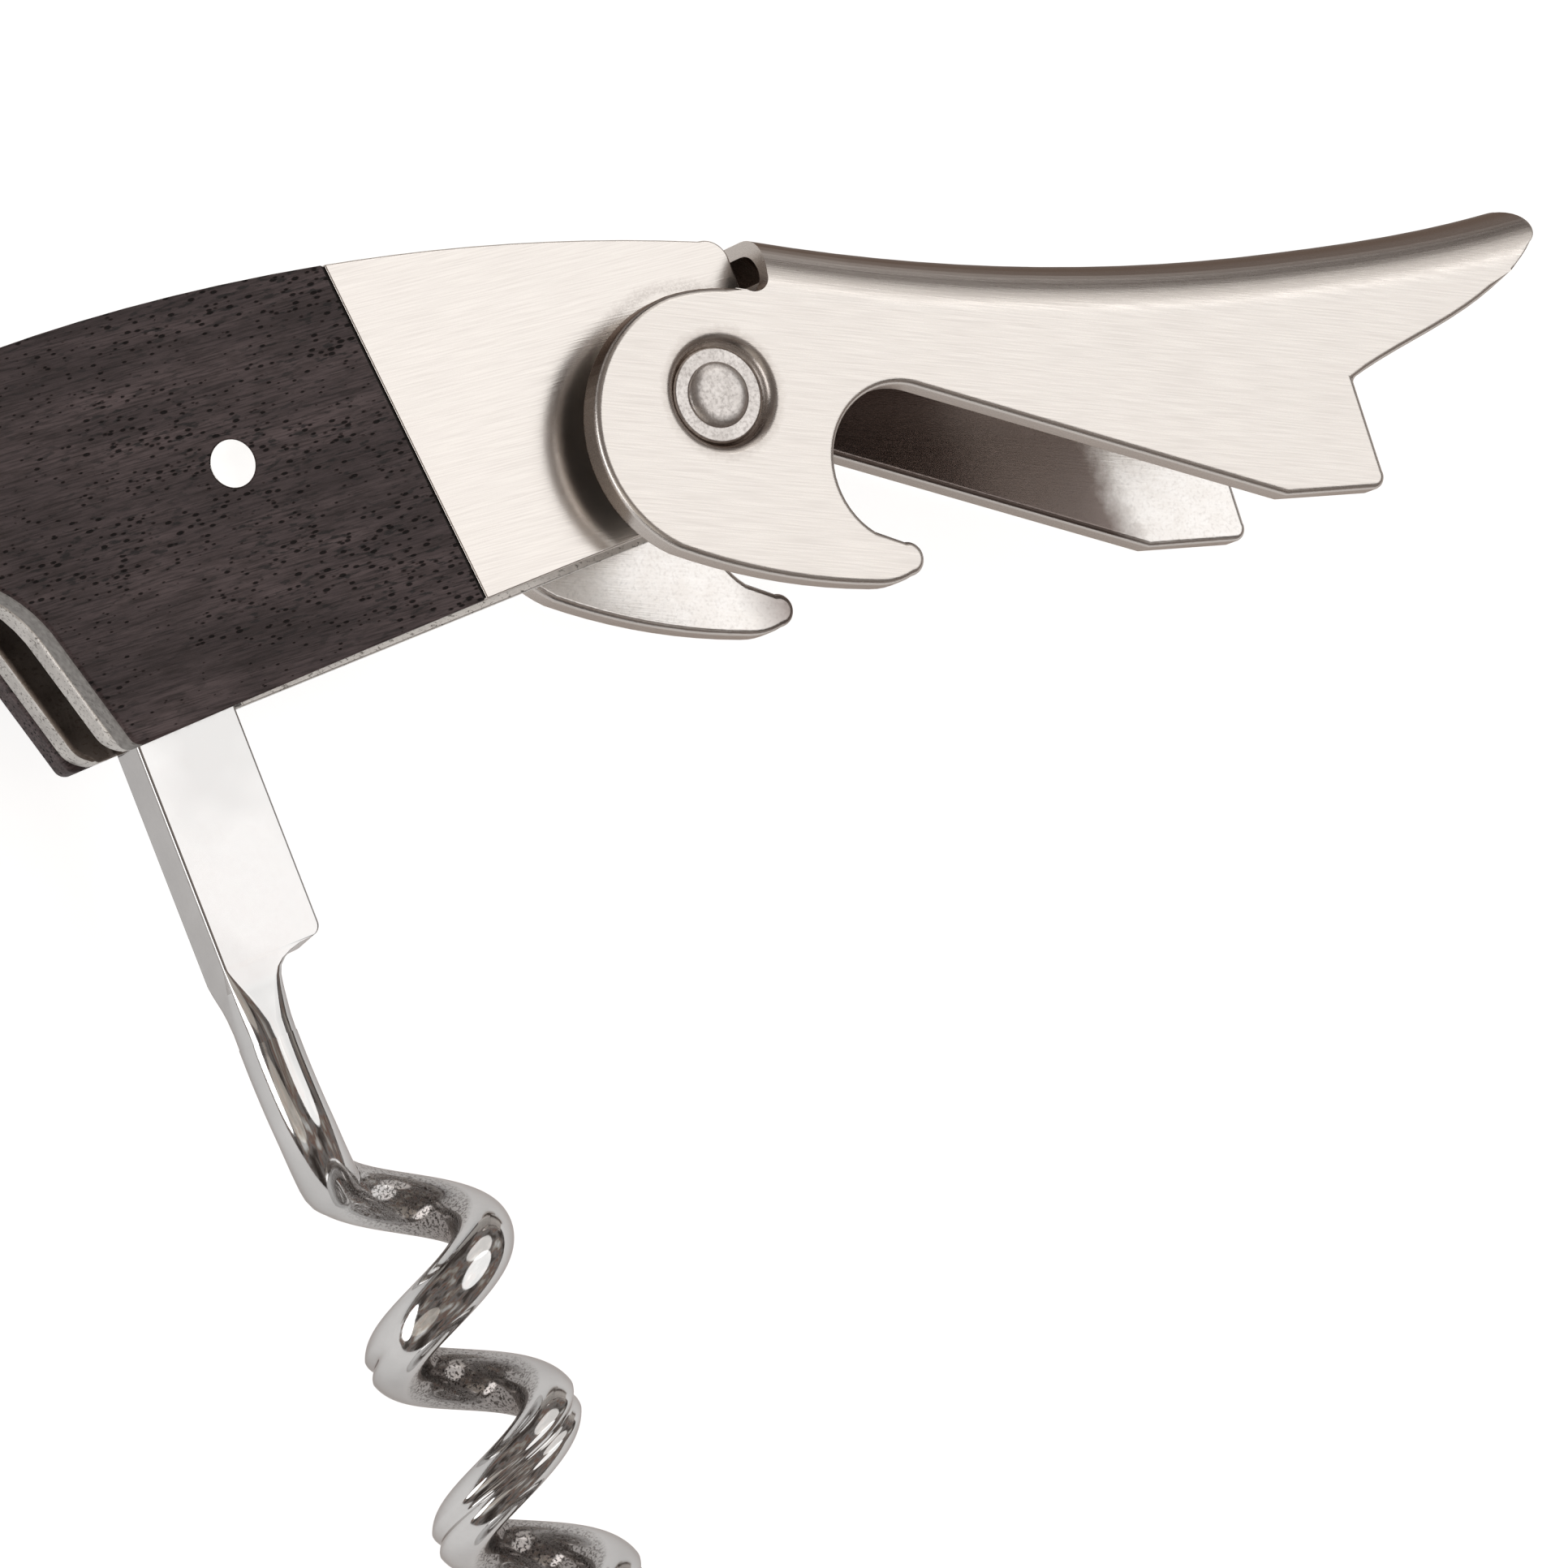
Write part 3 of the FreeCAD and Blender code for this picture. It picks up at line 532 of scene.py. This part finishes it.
def round_edges(made, radius, chosen=None, segments=3, sharp=32.0):
    """Round the sharp edges of a bmesh; chosen tells which of them from an edge's middle."""
    edges = []
    for edge in made.edges:
        middle = (edge.verts[0].co + edge.verts[1].co) / 2
        if edge.is_manifold and edge.calc_face_angle() > math.radians(sharp):
            if chosen is None or chosen(middle):
                edges.append(edge)
    bmesh.ops.bevel(made, geom=edges, offset=radius * MM, offset_type="OFFSET", segments=segments,
                    profile=0.5, affect="EDGES", clamp_overlap=False)
    made.normal_update()


def keep_inside(made, low, high):
    """Keep every point within a box."""
    for vert in made.verts:
        vert.co = Vector(min(max(c, a), b) for c, a, b in zip(vert.co, low, high))


def pull_back(made, cad_node):
    """Move points that an edge's rounding threw off the CAD surface back onto it."""
    source = frame["nodes"][cad_node].data
    surface = BVHTree.FromPolygons([v.co for v in source.vertices], [p.vertices[:] for p in source.polygons])
    for vert in made.verts:
        place, _, _, distance = surface.find_nearest(vert.co)
        if distance > STRAY * MM and (vert.co - PIVOT).to_2d().length > STRAY_FREE * MM:
            vert.co = place


def refined(cad_node, body, slot, material, radius, passes=(), shape=None, within=True, settle=None,
            last=None, **marks):
    """A CAD piece again, with worked edges: first the chosen ones, then all that are still sharp."""
    made = cad_copy(cad_node)
    if shape:
        shape(made)
    for pass_radius, chosen in passes:
        round_edges(made, pass_radius, chosen, segments=5)
    round_edges(made, radius, last)
    if within:
        pull_back(made, cad_node)
        keep_inside(made, *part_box(cad_node))
    if settle:
        settle(made)
    finish_piece(made, f"{cad_node}_finished", body, slot, material, cad_node, **marks)


def keep_one_side(made, point, direction):
    """Cut a closed mesh with a plane, drop what lies beyond it, and close the cut."""
    cut = bmesh.ops.bisect_plane(made, geom=made.verts[:] + made.edges[:] + made.faces[:],
                                 plane_co=point, plane_no=direction, clear_outer=True)
    rim = [e for e in cut["geom_cut"] if isinstance(e, bmesh.types.BMEdge)]
    bmesh.ops.contextual_create(made, geom=rim)
    made.normal_update()


def skin(made, rings):
    """Join rings of equal size into a closed skin, and return its rings of vertices."""
    loops = [[made.verts.new(p) for p in ring] for ring in rings]
    for low, high in zip(loops, loops[1:]):
        for i in range(len(low)):
            j = (i + 1) % len(low)
            made.faces.new((low[i], low[j], high[j], high[i]))
    made.faces.new(list(reversed(loops[0])))
    made.faces.new(loops[-1])
    return loops


def shrink_ring(old, new, test=lambda p: True, height=None):
    """Move the points of one circle round the pivot to another radius, and to a height if one is given."""
    def shape(made):
        for vert in made.verts:
            place = vert.co - PIVOT
            flat = place.to_2d()
            if abs(flat.length / MM - old) < 0.03 and test(place):
                flat = flat.normalized() * new * MM
                level = place.z if height is None else math.copysign(height * MM, place.z)
                vert.co = PIVOT + Vector((flat.x, flat.y, level))
    return shape


def lathe(made, profile, count=64):
    """Turn a profile of (radius, height) points round the pivot axis."""
    angles = [2 * math.pi * i / count for i in range(count)]
    skin(made, [[at(radius * math.cos(a), radius * math.sin(a), height) for a in angles]
                for radius, height in profile])


# ---------------------------------------------------------------- handle
WOOD_EDGE = 0.09
SHEET_EDGE = 0.1
BOLSTER_EDGE = 0.11
LINER_EDGE = 0.13
WASHER_EDGE = 0.14
JOINT_EDGE = 0.17
SCOOP_EDGE = 0.3
PIN_EDGE = 0.03
SCOOP_CORNER_FROM = -46
SCOOP_FROM = -100
SPACER_EDGE = -3.6
SPACER_DROP = 0.5
WASHER_CAD_RADIUS = 2.65
WASHER_RADIUS = 2.42
# Radius and height of the peened dome.
RIVET_HEAD = [(1.5, 7.3), (1.5, 7.46), (1.60, 7.47), (1.66, 7.50), (1.66, 7.56), (1.60, 7.64), (1.50, 7.71),
              (1.36, 7.775), (1.20, 7.82), (1.05, 7.845), (0.92, 7.85)]


def in_scoop(start):
    """Tells whether a point is on the worm scoop along the handle's underside, ahead of a start."""
    def test(p):
        x, y = flat_mm(p)
        return start < x < -34.6 and -6.2 < y < 5.5
    return test


def nowhere(_):
    return False


def at_joint(p):
    return from_joint(p) < 0.04


def lower_spacer(made):
    """Let the spacer's lower edge show below the liners."""
    for vert in made.verts:
        if vert.co.y < at(0, SPACER_EDGE).y:
            vert.co.y -= SPACER_DROP * MM


def make_rivet():
    """The rivet, with both ends peened to low domes."""
    made = bmesh.new()
    lathe(made, [(r, -z) for r, z in reversed(RIVET_HEAD)] + RIVET_HEAD)
    finish_piece(made, "lever_rivet_finished", "handle", "polished_steel", "worn", "lever_rivet")


def make_side(side, wall_zone):
    """One side of the handle: liner, scale, bolsters and washer."""
    scoop_pass = (SCOOP_EDGE, in_scoop(SCOOP_CORNER_FROM))
    refined(f"liner_{side}", "handle", "liner_steel", "liner", LINER_EDGE, [scoop_pass])
    refined(f"scale_{side}", "handle", "wood", "wood", WOOD_EDGE, [scoop_pass, (JOINT_EDGE, at_joint)],
            wall_zone=wall_zone)
    for bolster in ("bolster", "rear_bolster"):
        refined(f"{bolster}_{side}", "handle", "brushed_steel", "bolster", BOLSTER_EDGE)
    refined(f"rivet_washer_{side}", "handle", "polished_steel", "worn", WASHER_EDGE,
            shape=shrink_ring(WASHER_CAD_RADIUS, WASHER_RADIUS))


def make_handle():
    # The front scale's scoop wall takes the wood's painted sheen; the back scale's wall takes none.
    make_side("front", in_scoop(SCOOP_FROM))
    make_side("back", nowhere)
    refined("backspring", "handle", "liner_steel", "liner", SHEET_EDGE)
    refined("front_spacer", "handle", "liner_steel", "liner", SHEET_EDGE, shape=lower_spacer, within=False)
    make_rivet()
    for pins in ("scale_pins", "knife_pin"):
        refined(pins, "handle", "polished_steel", "pin", PIN_EDGE)
    for pins in ("spring_pins", "worm_pin"):
        refined(pins, "handle", "liner_steel", "liner", SHEET_EDGE)


make_handle()


# ---------------------------------------------------------------- lever
DISH_RADIUS = 2.75
DISH_FOOT = 2.46
DISH_FLOOR = 7.25
DISH_EDGE = 0.42
CHEEK_EDGE = 0.36
CHEEK_INSIDE = 6.2
LEVER_CREASE = 36
TIP_FROM = 45.5
WEB_CORNER = (5, 5)
WEB_CORNER_ROUND = 2.4
TIP_TUCK = Vector((-0.55, -0.12, 0))


def at_dish_foot(place):
    return abs(place.z) < 7.2 * MM and abs(place.z) > 6.5 * MM


def on_dish_rim(p):
    """The outer edge of the dish round each washer."""
    return abs((p - PIVOT).to_2d().length / MM - DISH_RADIUS) < 0.06 and abs(p.z - PIVOT.z) > 7.5 * MM


def clear_of_web_end(p):
    """Tells whether a point is away from the spine's cut end."""
    return math.dist(flat_mm(p), WEB_CORNER) > WEB_CORNER_ROUND


def clear_of_ends(p):
    return clear_of_web_end(p) and flat_mm(p).x < TIP_FROM


def shape_dish_and_web(made):
    """Draw in the foot of the dish, and cut the spine across where its thin end begins."""
    shrink_ring(DISH_RADIUS, DISH_FOOT, at_dish_foot, DISH_FLOOR)(made)
    plane = at(*(WEB_END + WEB_ALONG * WEB_FLARE))
    whole = made.verts[:] + made.edges[:] + made.faces[:]
    bmesh.ops.bisect_plane(made, geom=whole, plane_co=plane, plane_no=(*WEB_ALONG, 0))


def thin_web_end(made):
    """Thin the spine's sheet towards its cut end, where it is drawn down to a lip."""
    for vert in made.verts:
        place = vert.co - PIVOT
        along, out, across = web_offsets(place)
        depth = web_place(place)[1]
        if -0.3 < along < WEB_FLARE and WEB_SHEET - 0.5 < depth < WEB_SHEET + 0.3:
            way = WEB_OUT.to_3d() * (BEND_RADIUS + out) + Vector((0, 0, math.copysign(across, place.z)))
            thinned = (WEB_SHEET - WEB_LIP) * (1 - ease(along, 0.0, WEB_FLARE))
            vert.co += way.normalized() * thinned * MM


def settle_lever(made):
    """Thin the spine's end, and draw the tail's tip in a little to its rounder outline."""
    thin_web_end(made)
    for vert in made.verts:
        vert.co += TIP_TUCK * ease((vert.co.x - PIVOT.x) / MM, 34.0, 48.0) * MM


refined("lever", "lever", "brushed_steel", "lever", SHEET_EDGE,
        [(DISH_EDGE, on_dish_rim), (CHEEK_EDGE, clear_of_ends)],
        shape=shape_dish_and_web, settle=settle_lever, last=clear_of_web_end,
        wall_from=CHEEK_INSIDE, crease=LEVER_CREASE)


# ---------------------------------------------------------------- worm
SHANK_LEFT = -33.4
SHANK_RIGHT = -27.7
SHANK_HALF = 1.3
SHANK_ROUND = 0.2
SHOULDER = -17.5
SHOULDER_ROUND = 0.55
SHOULDER_STEPS = 6
DROOP = 0.38
TANG_CUT = -4.0
WIRE = 1.5
WIRE_END = 0.12
COIL_X = -28.4
COIL_RADIUS = 3.1
COIL_START = -28.7
COIL_PITCH = 9.0
COIL_LIFT = 1.3
COIL_TURNS = 4.6
TAPER_TURNS = 0.8
GROOVE_START = 0.93
GROOVE_RISE = 0.08
GROOVE_STOP = 0.45
GROOVE_FADE = 0.5
GROOVE_DEPTH = 0.42
GROOVE_HALF_ANGLE = 0.34
RING_POINTS = 80
STATIONS_PER_TURN = 32
STEPS_PER_STATION = 3
LEAD_TURN = 0.125
# Right edge, half thickness and corner radius of the neck, down from the shoulder.
NECK = [
    (-17.55, -28.90, 1.30, 0.20), (-17.70, -29.45, 1.30, 0.24), (-17.95, -29.95, 1.30, 0.34),
    (-18.25, -30.25, 1.30, 0.48), (-18.65, -30.36, 1.30, 0.68), (-19.15, -30.38, 1.32, 0.92),
    (-19.80, -30.40, 1.37, 1.18), (-20.60, -30.45, 1.45, 1.42), (-21.40, -30.50, 1.50, 1.50),
]
# Centre of the wire between the neck and the coil.
LEAD = [(-31.95, -21.4, 0), (-31.95, -23.0, 0), (-31.85, -24.8, -0.1), (-31.6, -26.3, -0.45),
        (-31.15, -27.8, -1.25)]


def rounded_section(half_w, half_t, corner):
    """Points of a rounded rectangle, which turns into a circle as its corners grow."""
    corner = min(corner, half_w, half_t)
    quarter = RING_POINTS // 4
    points = []
    for i, (sx, sy) in enumerate(((1, 1), (-1, 1), (-1, -1), (1, -1))):
        for j in range(quarter):
            angle = (i + (j + 0.5) / quarter) * math.pi / 2
            points.append((sx * (half_w - corner) + corner * math.cos(angle),
                           sy * (half_t - corner) + corner * math.sin(angle)))
    return points


def coil_angle(turn):
    return 2 * math.pi * turn - math.pi


def coil_point(turn):
    """Wire centre at a turn; the coil's first half turn lies a little higher than its pitch."""
    angle = coil_angle(turn)
    lift = COIL_LIFT * max(0.0, 1 - turn / 0.5) ** 1.5
    return Vector((COIL_X + COIL_RADIUS * math.cos(angle), COIL_START - COIL_PITCH * turn + lift,
                   COIL_RADIUS * math.sin(angle)))


def smooth_line(points, steps):
    """A Catmull-Rom curve through points, with some steps from each point to the next."""
    ends = [points[0] * 2 - points[1]] + points + [points[-1] * 2 - points[-2]]
    line = []
    for i in range(1, len(ends) - 2):
        p0, p1, p2, p3 = ends[i - 1:i + 3]
        for step in range(steps):
            t = step / steps
            line.append(0.5 * (2 * p1 + (p2 - p0) * t + (2 * p0 - 5 * p1 + 4 * p2 - p3) * t * t
                               + (3 * p1 - p0 - 3 * p2 + p3) * t ** 3))
    return line + [points[-1]]


def shank_rings():
    """Flat shank, its rounded shoulder, and the neck that turns round."""
    top = SHOULDER + SHOULDER_ROUND
    profile = [(y, SHANK_RIGHT, SHANK_HALF, SHANK_ROUND) for y in (TANG_CUT + 0.1, top + 0.4)]
    for step in range(SHOULDER_STEPS + 1):
        angle = step / SHOULDER_STEPS * math.pi / 2
        profile.append((top - SHOULDER_ROUND * math.sin(angle),
                        SHANK_RIGHT - SHOULDER_ROUND + SHOULDER_ROUND * math.cos(angle),
                        SHANK_HALF, SHANK_ROUND))
    rings = []
    for y, right, half, corner in profile + NECK:
        centre = (SHANK_LEFT + right) / 2
        section = rounded_section((right - SHANK_LEFT) / 2, half, corner)
        droop = DROOP * ease(-y, 16.6, 17.2) * (1 - ease(-y, 18.2, 20.0))
        rings.append([at(centre - u, y - droop * (1 - ease(-v, -half, half - SHANK_ROUND)), -v)
                      for u, v in section])
    return rings


def wire_stations():
    """Centre of the wire and its turn, for each ring below the neck."""
    coiled = COIL_TURNS - LEAD_TURN
    count = round(coiled * STATIONS_PER_TURN)
    coil = [coil_point(LEAD_TURN + coiled * i / count) for i in range(count + 1)]
    line = smooth_line([Vector(p) for p in LEAD] + coil, STEPS_PER_STATION)
    stations = []
    for i, centre in enumerate(line):
        place = i / STEPS_PER_STATION - len(LEAD)
        if place < 0:
            turn = LEAD_TURN * max(0.0, 1 + place / len(LEAD))
        else:
            turn = LEAD_TURN + coiled * place / count
        stations.append((centre, turn))
    return stations


def groove(turn, angle):
    """Depth of the V groove along the outside of the coil."""
    starting = clamp((turn - GROOVE_START) / GROOVE_RISE)
    stopping = clamp((COIL_TURNS - GROOVE_STOP - turn) / GROOVE_FADE)
    across = max(0.0, 1 - abs(angle) / GROOVE_HALF_ANGLE)
    return GROOVE_DEPTH * (starting * stopping) * (across ** 1.15)


def wire_ring(centre, turn, tangent):
    """One ring of the wire, and how far each of its points is on the coil's inner side."""
    angle = coil_angle(turn)
    outward = Vector((math.cos(angle), 0, math.sin(angle)))
    outward = (outward - tangent * outward.dot(tangent)).normalized()
    side = tangent.cross(outward)
    tapered = max(0.0, (turn - (COIL_TURNS - TAPER_TURNS)) / TAPER_TURNS)
    radius = WIRE - (WIRE - WIRE_END) * tapered ** 1.4
    coiled = clamp((turn - 0.1) / 0.25)
    ring = []
    inner = []
    for u, v in rounded_section(WIRE, WIRE, WIRE):
        phi = math.atan2(v, u)
        reach = radius - groove(turn, phi) * radius / WIRE
        ring.append(at(*(centre + outward * math.cos(phi) * reach + side * math.sin(phi) * reach)))
        inner.append(coiled * max(0.0, -math.cos(phi)) ** 0.7)
    return ring, inner


def worm_rings():
    """The worm's rings from shank to point, and the inner mark of each of their points."""
    rings = shank_rings()
    marks = [[0.0] * RING_POINTS for _ in rings]
    stations = wire_stations()
    for i, (centre, turn) in enumerate(stations):
        before = stations[max(i - 1, 0)][0]
        after = stations[min(i + 1, len(stations) - 1)][0]
        ring, inner = wire_ring(centre, turn, (after - before).normalized())
        rings.append(ring)
        marks.append(inner)
    return rings, marks


def make_worm():
    """The worm's tang from the CAD, and its shank and coil lofted again with more detail."""
    tang = cad_copy("worm")
    keep_one_side(tang, at(0, TANG_CUT), (0, -1, 0))
    round_edges(tang, SHANK_ROUND, lambda p: p.y > at(0, TANG_CUT + 0.3).y)
    finish_piece(tang, "worm_tang", "worm", "polished_steel", "worm")
    made = bmesh.new()
    layer = made.verts.layers.float.new("inner")
    rings, marks = worm_rings()
    for loop, inner in zip(skin(made, rings), marks):
        for vert, mark in zip(loop, inner):
            vert[layer] = mark
    finish_piece(made, "worm_screw", "worm", "polished_steel", "worm", "worm")


make_worm()


# ---------------------------------------------------------------- foil knife
KNIFE_CUT = -103.0
BLADE_START = -103.25
BLADE_END = -66.6
BLADE_STATIONS = 300
BACK_LINE = [(-103.4, 1.97), (-102.6, 2.5), (-86.0, 3.32), (-70.0, 4.1), (-68.3, 4.42), (-67.2, 5.0),
             (-66.6, 6.3)]
EDGE_LINE = [(-103.4, 5.57), (-101.8, 6.0), (-93.0, 6.52), (-84.0, 6.9), (-75.0, 7.02), (-66.6, 7.0)]
# Shares of the blade's height, from its back to its edge, at which each ring has points.
HEIGHT_SHARES = [0, 0.03, 0.08, 0.12, 0.16, 0.2, 0.24, 0.3, 0.36, 0.45, 0.6, 0.75, 0.88, 0.97, 1.0]
TANG_EDGE = 0.12
HALF_BLADE = 0.75
HALF_EDGE = 0.07
BACK_FLAT = 1.1
BACK_EDGE = 0.12
SERRATION = 1.6
SERRATION_DEPTH = 0.38
NICK_X = -75.5
NICK_HALF = 4.2
NICK_MIDDLE = 0.62
NICK_SPREAD = 0.34
NICK_DEPTH = 0.38


def along_line(points, x):
    """Height of a line of points at x."""
    i = min(max(bisect.bisect([p[0] for p in points], x), 1), len(points) - 1)
    (x1, y1), (x2, y2) = points[i - 1:i + 1]
    return y1 + (y2 - y1) * (x - x1) / (x2 - x1)


def blade_half(x, depth, height):
    """Half thickness at a depth from the back: flat, then ground down to the edge."""
    ground = ease(x, -100.5, -97.5)
    hollow = ease(depth, BACK_FLAT, height) if height > BACK_FLAT else 0.0
    straight = clamp((depth - BACK_FLAT) / max(height - BACK_FLAT, 0.1))
    half = HALF_BLADE - (HALF_BLADE - HALF_EDGE) * ground * (0.85 * straight + 0.15 * hollow)
    return min(half, HALF_BLADE - BACK_EDGE * max(0.0, 1 - depth / BACK_EDGE))


def nail_nick(x, depth):
    """Depth of the crescent that a nail catches to open the blade."""
    along = max(0.0, 1 - ((x - NICK_X) / NICK_HALF) ** 2)
    return NICK_DEPTH * along * max(0.0, 1 - abs(depth - NICK_MIDDLE) / NICK_SPREAD)


def blade_ring(x):
    """The blade's section at x, with its share of the serration."""
    back = along_line(BACK_LINE, x)
    edge = along_line(EDGE_LINE, x)
    toothed = ease(x, -97.0, -95.5) * (1 - ease(x, -71.5, -70.0))
    edge -= SERRATION_DEPTH * toothed * (1 - abs(math.sin(math.pi * x / SERRATION)))
    height = edge - back
    front = []
    rear = []
    for share in HEIGHT_SHARES:
        depth = share * height
        half = blade_half(x, depth, height)
        front.append(at(x, back + depth, half - nail_nick(x, depth)))
        rear.append(at(x, back + depth, -half + nail_nick(x, depth)))
    return front + rear[::-1]


def make_knife():
    """The round tang from the CAD, and the blade lofted again with its edge, serration and nick."""
    tang = cad_copy("knife")
    keep_one_side(tang, at(KNIFE_CUT, 0), (1, 0, 0))
    round_edges(tang, TANG_EDGE, lambda p: p.x < at(KNIFE_CUT - 0.3, 0).x)
    finish_piece(tang, "knife_tang", "knife", "blade_steel", "blade", "knife")
    made = bmesh.new()
    length = BLADE_END - BLADE_START
    skin(made, [blade_ring(BLADE_START + length * i / BLADE_STATIONS) for i in range(BLADE_STATIONS + 1)])
    bmesh.ops.recalc_face_normals(made, faces=made.faces)
    finish_piece(made, "knife_blade", "knife", "blade_steel", "blade")


make_knife()


# ---------------------------------------------------------------- floor, light and camera
SENSOR_MM = 36.0
FOCAL_MM = 209.63
CAMERA_BEARING = -91.76
CAMERA_HEIGHT = 61.29
CAMERA_ROLL = 70.33
CAMERA_PLACE = at(-219.346, -12.396, 400.004)
FLOOR_RADIUS = 4.0
BACKDROP = (0.93, 0.93, 0.925)
ROOM_TONES = [(0.34, (0.030, 0.024, 0.021)), (0.45, (0.075, 0.062, 0.055)), (0.52, (0.19, 0.175, 0.165)),
              (0.56, (0.15, 0.085, 0.065)), (0.60, (0.26, 0.24, 0.21)), (0.72, (0.55, 0.54, 0.53))]


def direction(bearing, height):
    """The way to a bearing and a height, both in degrees; bearing 0 is -Y and 90 is +X."""
    a, e = math.radians(bearing), math.radians(height)
    return Vector((math.sin(a) * math.cos(e), -math.cos(a) * math.cos(e), math.sin(e)))


def make_camera():
    data = bpy.data.cameras.new("camera")
    data.sensor_width = SENSOR_MM
    data.lens = FOCAL_MM
    data.clip_start = 0.01
    data.clip_end = 20.0
    camera = new_object("camera", data)
    back = direction(CAMERA_BEARING, CAMERA_HEIGHT)
    right = (-back).cross(Vector((0, 0, 1))).normalized()
    up = right.cross(-back)
    roll = math.radians(CAMERA_ROLL)
    right, up = right * math.cos(roll) + up * math.sin(roll), up * math.cos(roll) - right * math.sin(roll)
    turn = Matrix((right, up, back)).transposed().to_4x4()
    camera.matrix_world = Matrix.Translation(CAMERA_PLACE) @ turn
    bpy.context.scene.camera = camera


def softbox(name, bearing, height, distance, size, radiance, colour):
    """An elliptical soft light that faces the pivot from a direction."""
    data = bpy.data.lights.new(name, "AREA")
    data.shape = "ELLIPSE"
    data.size, data.size_y = size
    data.energy = radiance * math.pi * (math.pi / 4 * size[0] * size[1])
    data.color = colour
    lamp = new_object(name, data)
    facing = direction(bearing, height)
    lamp.location = PIVOT + facing * distance
    lamp.rotation_mode = "QUATERNION"
    lamp.rotation_quaternion = facing.to_track_quat("Z", "Y")


def make_floor():
    mesh = bpy.data.meshes.new("floor")
    made = bmesh.new()
    bmesh.ops.create_circle(made, cap_ends=True, radius=FLOOR_RADIUS, segments=96)
    made.to_mesh(mesh)
    made.free()
    mesh.materials.append(floor_paint())
    floor = new_object("floor", mesh)


def make_lights():
    softbox("key", bearing=90, height=61, distance=0.9, size=(1.0, 0.85), radiance=1.05,
            colour=(1.0, 0.995, 0.985))
    softbox("fill", bearing=-60, height=38, distance=1.1, size=(0.9, 0.8), radiance=0.33,
            colour=(1.0, 0.93, 0.82))
    softbox("side", bearing=140, height=36, distance=1.0, size=(0.9, 0.66), radiance=0.72,
            colour=(1.0, 0.97, 0.94))
    softbox("rim", bearing=-92, height=14, distance=1.0, size=(1.3, 0.34), radiance=2.2,
            colour=(1.0, 0.995, 0.99))


def make_world():
    """A pale backdrop for the camera, and an uneven dim room in the reflections."""
    world = bpy.data.worlds.new("studio")
    world.use_nodes = True
    tree = world.node_tree
    seen = node(tree, "ShaderNodeLightPath").outputs["Is Camera Ray"]
    around = node(tree, "ShaderNodeTexCoord").outputs["Generated"]
    room = ramp(tree, noise(tree, around, scale=2.3, detail=3, roughness=0.55), ROOM_TONES)
    tree.links.new(mix_colour(tree, seen, room, BACKDROP), tree.nodes["Background"].inputs["Color"])
    bpy.context.scene.world = world
    bpy.context.scene.view_settings.view_transform = "Standard"


make_camera()
make_floor()
make_lights()
make_world()
